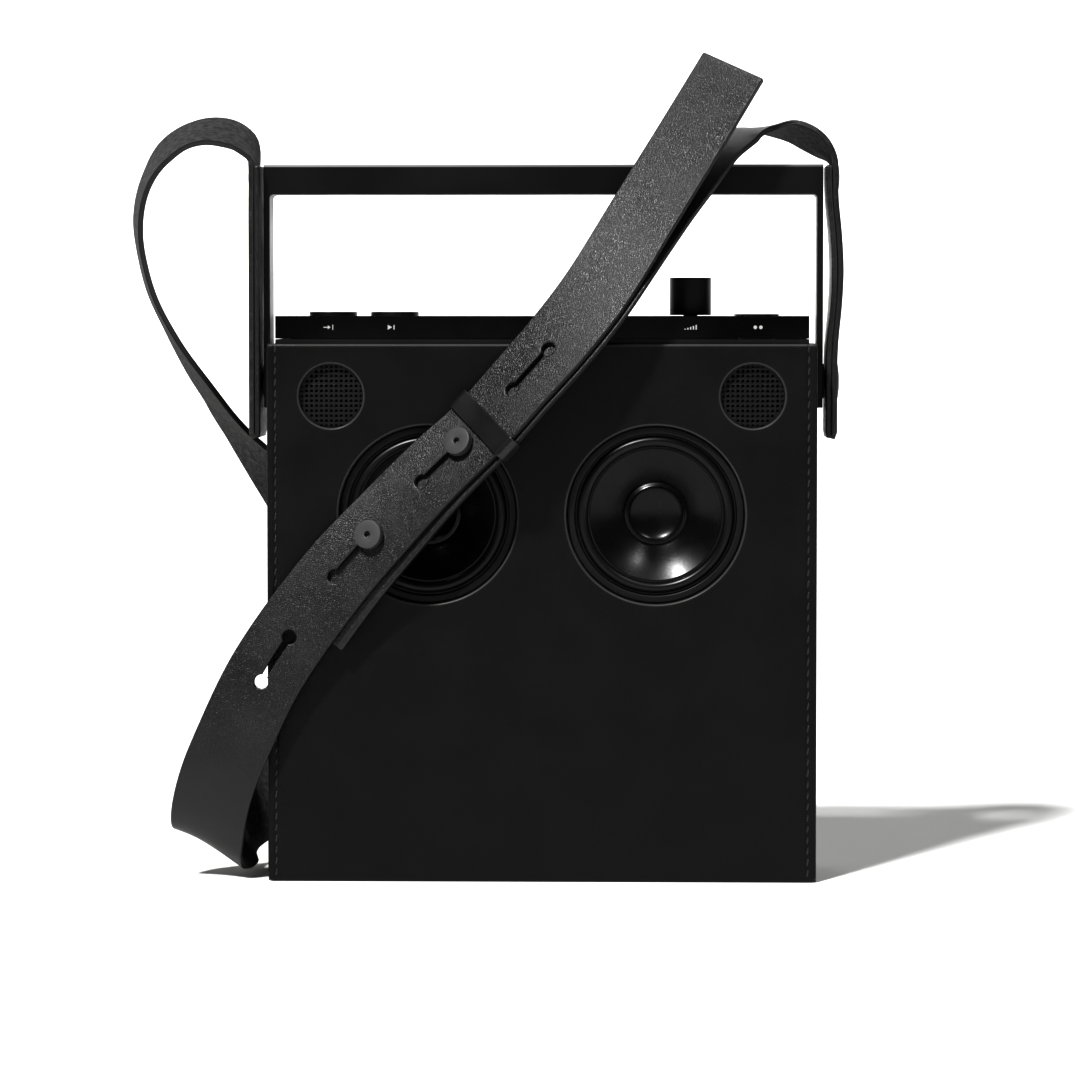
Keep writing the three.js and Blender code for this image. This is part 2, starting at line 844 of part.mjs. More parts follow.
// A station on the front run. The upper left edge lies back against the sleeve and the lower right
// edge stands out, so the middle is held forward by the lean. "clear" is added in front of that.
function onFront(x, clear, z, across) {
  const lean = new THREE.Vector3(...across).normalize();
  const heldOut = -lean.y * keeperReach + Math.sqrt(1 - lean.y ** 2) * keeperDepth;
  const y = sleeveFront - heldOut - clear;
  return station([(x * strapOutside) / drawnOutside, y, (z * barTop) / drawnTop], across);
}

// The front run climbs over the sleeve, the cap and the handle.
const frontRun = [
  onFront(-133.6, -0.7, 61.3, [0.928, -0.035, -0.371]),
  onFront(-118.5, -1.6, 92.1, [0.826, -0.105, -0.554]),
  onFront(-90.1, -1.8, 131.8, [0.745, -0.225, -0.628]),
  onFront(-65.5, -1.9, 159, [0.653, -0.407, -0.639]),
  onFront(-46.2, -0.6, 179.1, [0.619, -0.5, -0.606]),
  onFront(-24.8, 0.9, 199.4, [0.614, -0.574, -0.542]),
  onFront(-8.8, 1.5, 217.4, [0.621, -0.574, -0.534]),
  onFront(9, 1.2, 237.5, [0.658, -0.545, -0.52]),
  onFront(24.1, -1.4, 257.2, [0.7, -0.515, -0.494]),
  onFront(44.2, -9.4, 289.8, [0.724, -0.515, -0.46]),
];
const sideX = strapInside + doubled / 2;
const singleX = strapOutside - strapLeather / 2;
const strapTail = pivotHeight - 24.5;
const rivetHeight = barTop - 5.5;
const plyEnd = rivetHeight + 5;
const leftLoop = [
  station([-sideX, 0, strapTail], [0, -1, 0], 2),
  station([-sideX, 0, pivotHeight + 40], [0, -1, 0], 2),
  station([-sideX, 0, plyEnd], [0, -1, 0], 2),
  station([-singleX, 0, plyEnd + 0.5], [0, -1, 0]),
  station([-singleX, 0, plyEnd + 2.5], [-0.02, -1, 0]),
  free(-129, 0, 318, [-0.14, -0.98, -0.08]),
  free(-132.4, 0, 322.4, [-0.24, -0.95, -0.16]),
  free(-139, 0, 325.6, [-0.25, -0.92, -0.28]),
  free(-148, 0, 326.4, [-0.12, -0.93, -0.35]),
  free(-158, 0, 323.5, [0.04, -0.94, -0.34]),
  free(-166.5, 0, 317, [0.1, -0.93, -0.34]),
  free(-173, 0, 307.5, [0.11, -0.95, -0.29]),
  free(-177, 1, 297, [0.15, -0.96, -0.24]),
  free(-178.6, 3, 284, [0.18, -0.96, -0.22]),
  free(-177, 6, 270, [0.19, -0.97, -0.18]),
  free(-173, 11, 254, [0.2, -0.97, -0.12]),
  free(-165, 18, 236.5, [0.23, -0.97, -0.1]),
  free(-154.5, 27, 218, [0.26, -0.97, 0.02]),
  free(-145, 36, 203, [0.3, -0.95, 0.03]),
  free(-136.5, 45, 190.5, [0.4, -0.91, 0.08]),
];
const behindBody = [
  behind(-124, 4.9, 174, [0.6, -0.78, 0.2]),
  behind(-109, 8.9, 156, [0.8, -0.5, 0.3]),
  behind(-97, 8.6, 134, [0.9, -0.25, 0.3]),
  behind(-90, 8.8, 108, [0.98, -0.12, 0.12]),
  behind(-91, 8, 80, [0.95, -0.12, -0.25]),
  behind(-100, 7.2, 55, [0.75, -0.2, -0.62]),
  behind(-114.5, 6.4, 37, [0.45, -0.25, -0.85]),
  free(-127.6, 31.5, 27.5, [0.22, -0.12, -0.97]),
  free(-132.5, 14, 23, [0.14, -0.04, -0.99]),
];
const foldAndRise = [
  free(-134.5, 4, 19.5, [0.25, -0.2, -0.95]),
  free(-139, -7, 15.5, [0.5, -0.4, -0.77]),
  free(-143.5, -17, 14, [0.76, -0.4, -0.52]),
  free(-145.5, -26, 17.5, [0.89, -0.12, -0.44]),
  free(-145, -32.5, 27, [0.94, -0.04, -0.34]),
  free(-141, -37, 43, [0.95, -0.02, -0.31]),
];
const freeEnd = [
  onFront(63.2, -15.6, 320.8, [0.721, -0.53, -0.447]),
  onFront(82.7, -20.9, 353.2, [0.727, -0.545, -0.418]),
];
const longStations = [...leftLoop, ...behindBody, ...foldAndRise, ...frontRun, ...freeEnd];
const longSteps = route(longStations);
const runStart = longStations.length - frontRun.length - freeEnd.length;
const frontSteps = longSteps.filter(({ place }) => place >= runStart);

// The strap's frame at a distance along some of its steps.
function frameAt(steps, distance) {
  let left = distance;
  let i = 0;
  while (i < steps.length - 2 && left > steps[i].at.distanceTo(steps[i + 1].at)) {
    left -= steps[i].at.distanceTo(steps[i + 1].at);
    i++;
  }
  const from = steps[i];
  const to = steps[i + 1];
  const share = left / from.at.distanceTo(to.at);
  const along = to.at.clone().sub(from.at).normalize();
  const across = from.across.clone().lerp(to.across, share);
  across.addScaledVector(along, -across.dot(along)).normalize();
  const normal = new THREE.Vector3().crossVectors(along, across);
  return { at: from.at.clone().lerp(to.at, share), along, across, normal };
}

// A body made along +Z, +X across and +Y through the leather, set into a frame on the strap.
function setInto(geometry, frame) {
  const turn = new THREE.Matrix4().makeBasis(frame.across, frame.normal, frame.along);
  turn.setPosition(frame.at);
  return geometry.applyMatrix4(turn);
}

// Slots like dumb-bells: a round hole at both ends of a narrow neck.
const studSlotAt = 152.7; // from the start of the front steps to the slot with the upper stud
const slotPlaces = [-2, -1, 0, 1].map((n) => studSlotAt + n * slotPitch);
const reach = 6;
function slotTool() {
  return [
    rod("y", slotHole, -reach, reach, [0, slotLength / 2], 16),
    rod("y", slotHole, -reach, reach, [0, -slotLength / 2], 16),
    block([-slotNeck, -reach, -slotLength / 2], [slotNeck, reach, slotLength / 2]),
  ];
}
const slotFrames = slotPlaces.map((distance) => frameAt(frontSteps, distance));
const slotTools = slotFrames.flatMap((frame) => slotTool().map((tool) => setInto(tool, frame)));
const sideHoles = (sign) => [
  rod("x", screwBore, sign > 0 ? 100 : -200, sign > 0 ? 200 : -100, [0, pivotHeight], 16),
  rod("x", rivetRadius + gap, sign > 0 ? 100 : -200, sign > 0 ? 200 : -100, [0, rivetHeight], 12),
];
add("long_strap", cut(ribbon(longSteps, strapWidth), ...slotTools, ...sideHoles(-1)), "strapLeather");

// The short strap lies behind the long one on the front, then turns over the handle to the right pivot.
const parallel = frontSteps
  .filter(({ place }) => place > runStart + 1.5 && place < runStart + 8.1)
  .map((step) => {
    const below = Math.max(0, runStart + keeperStation - step.place);
    const at = step.at.clone();
    at.addScaledVector(step.normal, layerDrop);
    at.addScaledVector(step.across, aside + swing * below);
    return { ...step, at };
  });
const leaving = parallel.slice(-2).map(({ at, across }) => station(at.toArray(), across.toArray()));
const overHandle = [
  ...leaving,
  free(48.8, -32, 288.5, [0.71, -0.56, -0.43]),
  overBar(61, -26.5, 303.5, [0.64, -0.66, -0.38]),
  overBar(73, -15.5, 316.8, [0.5, -0.82, -0.27]),
  overBar(85.5, -5.5, 324.3, [0.28, -0.94, -0.18]),
  free(96.5, -2, 327, [0.05, -1, -0.02]),
  free(106.5, 0, 326.8, [0.05, -0.98, 0.17]),
  free(115, 0, 323.6, [0.14, -0.97, 0.2]),
  free(121.8, 0, 318.8, [0.14, -0.98, 0.12]),
  station([singleX - 0.4, 0, plyEnd + 2.4], [0.02, -1, 0.01]),
  station([sideX, 0, plyEnd], [0, -1, 0], 2),
  station([sideX, 0, pivotHeight + 78], [0, -1, 0], 2),
  station([sideX + 2.6, 0, pivotHeight + 48], [0, -1, 0], 2),
  station([sideX, 0, pivotHeight + 10], [0, -1, 0], 2),
  station([sideX, 0, pivotHeight - 10], [0, -1, 0], 2),
  station([sideX, 0, strapTail], [0, -1, 0], 2),
];
const shortSteps = [...parallel.slice(0, -1), ...route(overHandle).filter(({ place }) => place >= 1)];

// Studs sit on the short strap, at the upper end of the slots they hold.
const studFrames = [2, 1].map((index) => {
  const distance = slotPlaces[index] + slotLength / 2 + studPull;
  return frameAt(frontSteps, distance);
});
const studHoles = studFrames.map((frame) =>
  setInto(rod("y", studPost + gap, -reach, reach, [0, 0], 16), frame),
);
add("short_strap", cut(ribbon(shortSteps, strapWidth), ...studHoles, ...sideHoles(1)), "strapLeather");

studFrames.forEach((frame, i) => {
  const face = -strapLeather / 2 - studGap;
  const back = layerDrop + strapLeather / 2 + gap;
  const stud = cut(
    join(
      rod("y", studHeadRadius, face - studHeadThickness, face, [0, 0], 24),
      rod("y", studPost, face - 1, back + 0.3, [0, 0], 16),
      rod("y", 4.2, back, back + 0.6, [0, 0], 16),
    ),
    rod("y", 1.3, face - studHeadThickness - 1, face - 1.2, [0, 0], 12),
  );
  add(["strap_stud_upper", "strap_stud_lower"][i], setInto(stud, frame), "mattBlack");
});

// The keeper is a loop of thin leather round both straps.
const keeperAt = studSlotAt + slotLength / 2 + studHeadRadius + keeperLength / 2 + keeperAfter;
const keeperFrame = frameAt(frontSteps, keeperAt);
const keeperHalf = strapWidth / 2 + keeperSide;
const keeperFace = -strapLeather / 2 - 0.6;
const keeperBack = layerDrop + strapLeather / 2 + keeperRoom;
const keeper = cut(
  block(
    [-keeperHalf - keeperLeather, keeperFace - keeperLeather, -keeperLength / 2],
    [keeperHalf + aside + keeperLeather, keeperBack + keeperLeather, keeperLength / 2],
  ),
  block([-keeperHalf, keeperFace, -keeperLength], [keeperHalf + aside, keeperBack, keeperLength]),
);
add("strap_keeper", setInto(keeper, keeperFrame), "strapLeather");

// Rivets hold each strap's folded end together at the height of the handle's bar.
for (const { side, sign } of sides) {
  const outside = strapOutside + gap;
  const rivet = join(
    rod("x", rivetHeadRadius, outside, outside + 1, [0, rivetHeight]),
    rod("x", rivetRadius, strapInside + 0.2, outside + 0.5, [0, rivetHeight], 12),
  );
  add("strap_rivet_" + side, rivet, "blackMetal", [0, 0, 0], [0, 0, sign < 0 ? Math.PI : 0]);
}

export default radio;
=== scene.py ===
# A flat portable radio in a stitched leather sleeve, with a square handle and a shoulder strap.
# Metres, +Z up, the loudspeakers face -Y. The origin is the middle of the sleeve's flat underside.
import math

import bmesh
import bpy
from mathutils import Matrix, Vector


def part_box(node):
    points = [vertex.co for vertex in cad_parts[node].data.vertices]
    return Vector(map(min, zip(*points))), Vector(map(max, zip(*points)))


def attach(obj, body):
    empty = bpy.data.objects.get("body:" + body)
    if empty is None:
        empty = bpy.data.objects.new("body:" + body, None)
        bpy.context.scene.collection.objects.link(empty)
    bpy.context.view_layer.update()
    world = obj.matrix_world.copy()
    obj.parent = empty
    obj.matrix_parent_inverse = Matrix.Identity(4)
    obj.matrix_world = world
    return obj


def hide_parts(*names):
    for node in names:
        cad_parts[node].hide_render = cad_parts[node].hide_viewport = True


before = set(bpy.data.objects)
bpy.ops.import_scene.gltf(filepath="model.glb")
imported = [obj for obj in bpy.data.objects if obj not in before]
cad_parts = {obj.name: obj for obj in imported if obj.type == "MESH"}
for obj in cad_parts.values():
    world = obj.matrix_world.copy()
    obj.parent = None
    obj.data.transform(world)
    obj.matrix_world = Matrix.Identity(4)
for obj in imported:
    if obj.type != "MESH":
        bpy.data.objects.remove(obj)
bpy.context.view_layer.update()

# ---------- leather sleeve ----------
# The real sleeve is 3 mm vegetable-tanned hide, dyed black and polished, cut as a front, a back
# and one long strip for both sides and the bottom. The front and back are sewn on with waxed
# thread, and the round windows for the loudspeakers are punched and their edges rubbed smooth.
MM = 0.001


def new_group(name, kind, inputs, outputs):
    """An empty node group with its named inputs and outputs."""
    group = bpy.data.node_groups.new(name, kind)
    for label, socket_kind, value in inputs:
        socket = group.interface.new_socket(name=label, in_out="INPUT", socket_type=socket_kind)
        if value is not None:
            socket.default_value = value
    for label, socket_kind in outputs:
        group.interface.new_socket(name=label, in_out="OUTPUT", socket_type=socket_kind)
    given, result = (group.nodes.new("NodeGroup" + end) for end in ("Input", "Output"))
    return group, given.outputs, result.inputs


def node_in(tree, kind, links=None, **settings):
    """A node with its settings, its unlinked values and its links."""
    made = tree.nodes.new(kind)
    for key, value in settings.items():
        setattr(made, key, value)
    for socket, value in (links or {}).items():
        if isinstance(value, bpy.types.NodeSocket):
            tree.links.new(value, made.inputs[socket])
        else:
            made.inputs[socket].default_value = value
    return made


def math_in(tree, operation, first, second=0.0, clamp=False):
    return node_in(
        tree, "ShaderNodeMath", {0: first, 1: second}, operation=operation, use_clamp=clamp
    ).outputs[0]


def range_in(tree, value, low, high, to_low=0.0, to_high=1.0):
    """A value eased from one range into another."""
    ends = {"Value": value, "From Min": low, "From Max": high, "To Min": to_low, "To Max": to_high}
    return node_in(tree, "ShaderNodeMapRange", ends, interpolation_type="SMOOTHSTEP").outputs[0]


def noise_in(tree, where, scale, detail=2.0):
    """Cloudy noise from 0 to 1. A larger scale makes finer clouds."""
    ends = {"Vector": where, "Scale": scale, "Detail": detail}
    return node_in(tree, "ShaderNodeTexNoise", ends).outputs["Fac"]


def own_place(tree):
    """The place of each point of the piece, in metres."""
    return node_in(tree, "ShaderNodeTexCoord").outputs["Object"]


def make_hide_group():
    """The grain of tanned hide: cells with creases between them, pores, and slow mottling."""
    group, given, result = new_group(
        "hide_grain", "ShaderNodeTree",
        [("Vector", "NodeSocketVector", None), ("Cells per metre", "NodeSocketFloat", 900.0)],
        [("Height", "NodeSocketFloat"), ("Mottle", "NodeSocketFloat")],
    )
    where = given["Vector"]
    warp = node_in(group, "ShaderNodeTexNoise", {"Vector": where, "Scale": 260.0, "Detail": 3.0})
    warp = {0: warp.outputs["Color"], 1: (0.0012, 0.0012, 0.0012)}
    bent = node_in(group, "ShaderNodeVectorMath", warp, operation="MULTIPLY")
    moved = node_in(group, "ShaderNodeVectorMath", {0: where, 1: bent.outputs[0]})
    net = {"Vector": moved.outputs[0], "Scale": given["Cells per metre"]}
    cells = node_in(group, "ShaderNodeTexVoronoi", net, feature="DISTANCE_TO_EDGE")
    crease = range_in(group, cells.outputs["Distance"], 0.0, 0.22)
    pores = noise_in(group, where, 2600.0, 3.0)
    height = math_in(group, "MULTIPLY", crease, 0.7)
    height = math_in(group, "ADD", height, math_in(group, "MULTIPLY", pores, 0.5))
    group.links.new(height, result["Height"])
    group.links.new(noise_in(group, where, 38.0, 5.0), result["Mottle"])
    return group


hide_group = make_hide_group()


def new_material(name, base, roughness, metallic=0.0, specular=0.5):
    material = bpy.data.materials.new(name)
    material.use_nodes = True
    shader = material.node_tree.nodes["Principled BSDF"]
    shader.inputs["Base Color"].default_value = (*base, 1.0)
    shader.inputs["Roughness"].default_value = roughness
    shader.inputs["Metallic"].default_value = metallic
    shader.inputs["Specular IOR Level"].default_value = specular
    return material, material.node_tree, shader


def paint_with(tree, shader, colour, roughness):
    tree.links.new(colour, shader.inputs["Base Color"])
    tree.links.new(roughness, shader.inputs["Roughness"])


def bump_into(tree, shader, height, distance, strength):
    ends = {"Height": height, "Distance": distance, "Strength": strength}
    tree.links.new(node_in(tree, "ShaderNodeBump", ends).outputs[0], shader.inputs["Normal"])


def two_tones(tree, share, first, second):
    """A colour between two, each given as three numbers or as another node's colour."""
    ends = {0: share}
    for socket, tone in ((6, first), (7, second)):
        ends[socket] = tone if isinstance(tone, bpy.types.NodeSocket) else (*tone, 1.0)
    return node_in(tree, "ShaderNodeMix", ends, data_type="RGBA").outputs[2]


SLEEVE_HALF = 0.119
SLEEVE_TOP = 0.2335
SLEEVE_FRONT = -0.0325
SLEEVE_THICKNESS = 0.003
SLEEVE_CORNER = 0.0025
RUBBED_EDGE = 0.0008
SEAM_INSET = 0.0037
HATCH_EDGES = (-0.048, 0.048, 0.024, 0.054)
WOOFER_X, WOOFER_Z, WOOFER_WINDOW = 0.0493, 0.1596, 0.0387
TWEETER_X, TWEETER_Z, TWEETER_WINDOW = 0.0912, 0.211, 0.0139


def make_sleeve_leather():
    """Polished hide, pressed in along the seams, with a painted highlight that makes its top edge
    and the lips of its windows paler.
    """
    material, tree, shader = new_material("polished_black_hide", (0.005,) * 3, 0.4, 0.0, 0.26)
    where = own_place(tree)
    grain_size = {"Vector": where, "Cells per metre": 820.0}
    hide = node_in(tree, "ShaderNodeGroup", grain_size, node_tree=hide_group)
    place = node_in(tree, "ShaderNodeSeparateXYZ", {0: where})
    side = math_in(tree, "ABSOLUTE", place.outputs["X"])
    off_seam = math_in(tree, "SUBTRACT", side, SLEEVE_HALF - SEAM_INSET)
    groove = range_in(tree, math_in(tree, "ABSOLUTE", off_seam), 0.0, 0.0016)
    edge = range_in(tree, side, SLEEVE_HALF - 0.02, SLEEVE_HALF - 0.004)
    coarser = range_in(tree, edge, 0.0, 1.0, 0.35, 1.0)
    grain = math_in(tree, "MULTIPLY", hide.outputs["Height"], coarser)
    height = math_in(tree, "ADD", grain, math_in(tree, "MULTIPLY", groove, 5.0))
    bump_into(tree, shader, height, 0.00007, 0.75)
    # Painted highlight: a paler band along the top edge and round the lips of the front windows,
    # where the light would catch them.
    rim = range_in(tree, place.outputs["Z"], SLEEVE_TOP - 0.0016, SLEEVE_TOP - 0.0003)
    on_front_only = range_in(tree, place.outputs["Y"], -0.02, -0.028)
    spot = node_in(tree, "ShaderNodeCombineXYZ", {0: side, 2: place.outputs["Z"]}).outputs[0]
    for x, z, radius in (
        (WOOFER_X, WOOFER_Z, WOOFER_WINDOW), (TWEETER_X, TWEETER_Z, TWEETER_WINDOW)
    ):
        ends = {0: spot, 1: (x, 0.0, z)}
        reach = node_in(tree, "ShaderNodeVectorMath", ends, operation="DISTANCE").outputs["Value"]
        lip_highlight = range_in(tree, reach, radius + 0.0011, radius + 0.0004)
        rim = math_in(tree, "MAXIMUM", rim, math_in(tree, "MULTIPLY", lip_highlight, on_front_only))
    mottle = hide.outputs["Mottle"]
    tone = two_tones(tree, mottle, (0.0022, 0.0022, 0.0023), (0.0055, 0.0054, 0.0053))
    # The pale colour of the painted highlight on the edges.
    painted_edge_highlight = two_tones(tree, rim, tone, (0.05, 0.0492, 0.048))
    paint_with(tree, shader, painted_edge_highlight, range_in(tree, mottle, 0.3, 0.72, 0.34, 0.46))
    return material


sleeve_leather = make_sleeve_leather()


def weight_normals(thing):
    """Large flat faces stay flat, and the narrow rounded edges carry the turn."""
    thing.data.shade_smooth()
    thing.modifiers.new("even_shading", "WEIGHTED_NORMAL").weight = 100


def linked(name, data):
    """A new object in the scene."""
    thing = bpy.data.objects.new(name, data)
    bpy.context.scene.collection.objects.link(thing)
    return thing


def final_mesh(thing):
    """The mesh as it shows, with its modifiers applied."""
    bpy.context.view_layer.update()
    graph = bpy.context.evaluated_depsgraph_get()
    return bpy.data.meshes.new_from_object(thing.evaluated_get(graph), depsgraph=graph)


def settle(thing, name, material, slot, *nodes, body="radio"):
    """Makes the shown mesh final, and hands it to its body in place of the solid nodes."""
    mesh = final_mesh(thing)
    mesh.transform(thing.matrix_world)
    mesh.name = name
    made = linked(name, mesh)
    bpy.data.objects.remove(thing)
    mesh.materials.clear()
    mesh.materials.append(material)
    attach(made, body)
    if nodes:
        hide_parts(*nodes)


def edited(mesh, edit):
    """Opens the mesh for an edit in place, and writes it back."""
    work = bmesh.new()
    work.from_mesh(mesh)
    edit(work)
    work.to_mesh(mesh)
    work.free()


def cleaned(thing, closeness=0.00001):
    """Doubled points merged and the faces turned outwards."""
    def clean(work):
        bmesh.ops.remove_doubles(work, verts=work.verts, dist=closeness)
        bmesh.ops.dissolve_degenerate(work, edges=work.edges, dist=closeness / 2)
        bmesh.ops.recalc_face_normals(work, faces=work.faces)

    edited(thing.data, clean)
    return thing


def cut_sheet(name, outline, holes, thickness, edge):
    """A flat sheet in X and Y with rounded edges and rounded holes, its middle at Z 0."""
    curve = bpy.data.curves.new(name, "CURVE")
    curve.dimensions = "2D"
    curve.fill_mode = "BOTH"
    for points in [outline, *holes]:
        spline = curve.splines.new("POLY")
        spline.points.add(len(points) - 1)
        for point, (x, y) in zip(spline.points, points):
            point.co = (x, y, 0.0, 1.0)
        spline.use_cyclic_u = True
    curve.extrude = thickness / 2 - edge
    curve.bevel_depth = edge
    curve.bevel_resolution = 3
    curve.offset = -edge
    drawn = linked(name, curve)
    mesh = final_mesh(drawn)
    bpy.data.objects.remove(drawn)
    return cleaned(linked(name, mesh))


def circle(x, y, radius, count=64):
    """Points around a circle."""
    turns = [2 * math.pi * i / count for i in range(count)]
    return [(x + radius * math.cos(a), y + radius * math.sin(a)) for a in turns]


def rounded_oblong(left, right, low, high, corner, count=8):
    """Points around an oblong with round corners."""
    points = []
    middles = [(right - corner, low + corner), (right - corner, high - corner),
               (left + corner, high - corner), (left + corner, low + corner)]
    for quarter, (x, y) in enumerate(middles):
        for i in range(count + 1):
            angle = math.radians(90 * (quarter - 1) + 90 * i / count)
            points.append((x + corner * math.cos(angle), y + corner * math.sin(angle)))
    return points


def stand_up(thing, y):
    """Turns a sheet drawn in X and Y upright, its outline in X and Z, its middle at y."""
    for corner in thing.data.vertices:
        corner.co = Vector((corner.co.x, y - corner.co.z, corner.co.y))
    thing.data.update()
    return thing


windows = []
for mirror in (-1, 1):
    windows.append(circle(mirror * WOOFER_X, WOOFER_Z, WOOFER_WINDOW, 128))
    windows.append(circle(mirror * TWEETER_X, TWEETER_Z, TWEETER_WINDOW, 72))
front_outline = rounded_oblong(-SLEEVE_HALF, SLEEVE_HALF, 0.0, SLEEVE_TOP, SLEEVE_CORNER)
hatch = rounded_oblong(*HATCH_EDGES, 0.006)
panel_middle = SLEEVE_FRONT + SLEEVE_THICKNESS / 2
for name, y, holes in (("front", panel_middle, windows), ("back", -panel_middle, [hatch])):
    panel = cut_sheet("sleeve_" + name, front_outline, holes, SLEEVE_THICKNESS, RUBBED_EDGE)
    stand_up(panel, y)
    weight_normals(panel)
    settle(panel, "sleeve_" + name, sleeve_leather, "sleeve_leather", "sleeve_" + name + "_panel")


def eased(node, edge, steps=2):
    """The solid node's shape with its sharp edges rounded over."""
    thing = cleaned(linked("eased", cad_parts[node].data.copy()))
    edited(thing.data, lambda work: bmesh.ops.dissolve_limit(
        work, angle_limit=math.radians(0.6), verts=work.verts, edges=work.edges))
    rounding = thing.modifiers.new("rounded_edges", "BEVEL")
    rounding.limit_method = "ANGLE"
    rounding.angle_limit = math.radians(32)
    rounding.width = edge
    rounding.segments = steps
    weight_normals(thing)
    return thing


settle(eased("sleeve_gusset", 0.0007, 3), "sleeve_sides", sleeve_leather, "sleeve_leather",
       "sleeve_gusset")


# The seams: waxed linen thread, one slanting stitch every 4.8 mm, each pulled down into the hide.
def make_thread():
    """Waxed thread with its fibres just showing."""
    material, tree, shader = new_material("waxed_black_thread", (0.03, 0.03, 0.031), 0.3)
    weave = {"Vector": own_place(tree), "Scale": 900.0, "Distortion": 1.5}
    fibres = node_in(tree, "ShaderNodeTexWave", weave)
    bump_into(tree, shader, fibres.outputs["Fac"], 0.00012, 0.6)
    return material


thread = make_thread()


def make_stitch_tree():
    """Stitches set along every line that it is given."""
    tree, given, result = new_group(
        "stitches_along_a_seam", "GeometryNodeTree",
        [("Seam", "NodeSocketGeometry", None),
         ("Pitch", "NodeSocketFloat", 0.0048),
         ("Length", "NodeSocketFloat", 0.0032),
         ("Thickness", "NodeSocketFloat", 0.0009),
         ("Turn", "NodeSocketVector", (0.0, 0.0, 0.0)),
         ("Unevenness", "NodeSocketFloat", 0.06),
         ("Seed", "NodeSocketInt", 3),
         ("Thread", "NodeSocketMaterial", None)],
        [("Stitches", "NodeSocketGeometry")],
    )
    line = node_in(tree, "GeometryNodeMeshToCurve", {"Mesh": given["Seam"]}).outputs[0]
    spacing = {"Curve": line, "Length": given["Pitch"]}
    points = node_in(tree, "GeometryNodeCurveToPoints", spacing, mode="LENGTH")
    ball = node_in(tree, "GeometryNodeMeshUVSphere", {"Segments": 10, "Rings": 8, "Radius": 0.5})
    sizes = {"X": given["Thickness"], "Y": given["Thickness"], "Z": given["Length"]}
    size = node_in(tree, "ShaderNodeCombineXYZ", sizes).outputs[0]
    stretched = {"Geometry": ball.outputs["Mesh"], "Scale": size}
    shaped = node_in(tree, "GeometryNodeTransform", stretched).outputs[0]
    chance = {"Min": -1.0, "Max": 1.0, "Seed": given["Seed"]}
    wander = node_in(tree, "FunctionNodeRandomValue", chance, data_type="FLOAT")
    wandering = [socket for socket in wander.outputs if socket.type == "VALUE"][0]
    tilt = math_in(tree, "MULTIPLY", wandering, given["Unevenness"])
    spread = node_in(tree, "ShaderNodeCombineXYZ", {"Y": tilt}).outputs[0]
    slant = node_in(tree, "ShaderNodeVectorMath", {0: given["Turn"], 1: spread}).outputs[0]
    places = {"Points": points.outputs["Points"], "Instance": shaped, "Rotation": slant}
    placed = node_in(tree, "GeometryNodeInstanceOnPoints", places).outputs[0]
    real = node_in(tree, "GeometryNodeRealizeInstances", {"Geometry": placed}).outputs[0]
    smooth = node_in(tree, "GeometryNodeSetShadeSmooth", {"Geometry": real}).outputs[0]
    dress = {"Geometry": smooth, "Material": given["Thread"]}
    dressed = node_in(tree, "GeometryNodeSetMaterial", dress)
    tree.links.new(dressed.outputs[0], result[0])
    return tree


stitch_tree = make_stitch_tree()


def sew(name, lines, turn, seed):
    """A mesh of stitches along straight lines given as pairs of points."""
    mesh = bpy.data.meshes.new(name)
    points = [point for line in lines for point in line]
    mesh.from_pydata(points, [(i, i + 1) for i in range(0, len(points), 2)], [])
    seam = linked(name, mesh)
    sewing = seam.modifiers.new("stitches", "NODES")
    sewing.node_group = stitch_tree
    values = {"Turn": turn, "Seed": seed, "Thread": thread}
    for item in stitch_tree.interface.items_tree:
        if item.item_type == "SOCKET" and item.name in values:
            sewing[item.identifier] = values[item.name]
    settle(seam, name, thread, "sleeve_leather")


STITCH_SLANT = 0.16
STITCH_Y = SLEEVE_FRONT - 0.00003
seam_sides = (SEAM_INSET - SLEEVE_HALF, SLEEVE_HALF - SEAM_INSET)
for name, side, seed in (("front_stitches", 1, 7), ("back_stitches", -1, 8)):
    y = side * STITCH_Y
    seams = [((x, y, 0.004), (x, y, SLEEVE_TOP - 0.002)) for x in seam_sides]
    sew(name, seams, (0.0, side * STITCH_SLANT, 0.0), seed)


# ---------- cabinet ----------
# The real cabinet is moulded in black plastic: a rear shell, a flat front baffle and a glossy cap
# that carries the controls. Only the cap and the rims round the loudspeakers show above the
# leather.
def make_wear_group():
    """Fine unevenness, handling marks and dust on moulded and painted pieces."""
    group, given, result = new_group(
        "handling_marks", "ShaderNodeTree",
        [("Vector", "NodeSocketVector", None), ("Size", "NodeSocketFloat", 400.0)],
        [("Height", "NodeSocketFloat"), ("Marks", "NodeSocketFloat")],
    )
    where = given["Vector"]
    fine = noise_in(group, where, given["Size"], 4.0)
    group.links.new(fine, result["Height"])
    group.links.new(noise_in(group, where, 24.0, 6.0), result["Marks"])
    return group


wear_group = make_wear_group()


def worn_material(
    name, dark, light, rough_low, rough_high, size, depth, metallic=0.0, specular=0.35
):
    """A hard finish between two tones and two roughnesses, with fine unevenness."""
    material, tree, shader = new_material(name, dark, rough_low, metallic, specular)
    ends = {"Vector": own_place(tree), "Size": size}
    wear = node_in(tree, "ShaderNodeGroup", ends, node_tree=wear_group)
    marks = wear.outputs["Marks"]
    roughness = range_in(tree, marks, 0.3, 0.7, rough_low, rough_high)
    paint_with(tree, shader, two_tones(tree, marks, dark, light), roughness)
    bump_into(tree, shader, wear.outputs["Height"], depth, 0.5)
    return material


moulded_plastic = worn_material(
    "moulded_black_plastic", (0.003, 0.003, 0.0032), (0.005, 0.005, 0.0053),
    0.42, 0.56, 2400.0, 0.00004
)
gloss_plastic = worn_material(
    "glossy_black_cap", (0.002, 0.002, 0.0022), (0.003, 0.003, 0.0033), 0.07, 0.13, 300.0, 0.000004
)
settle(eased("top_cap", 0.0007, 3), "control_cap", gloss_plastic, "cap_gloss", "top_cap")


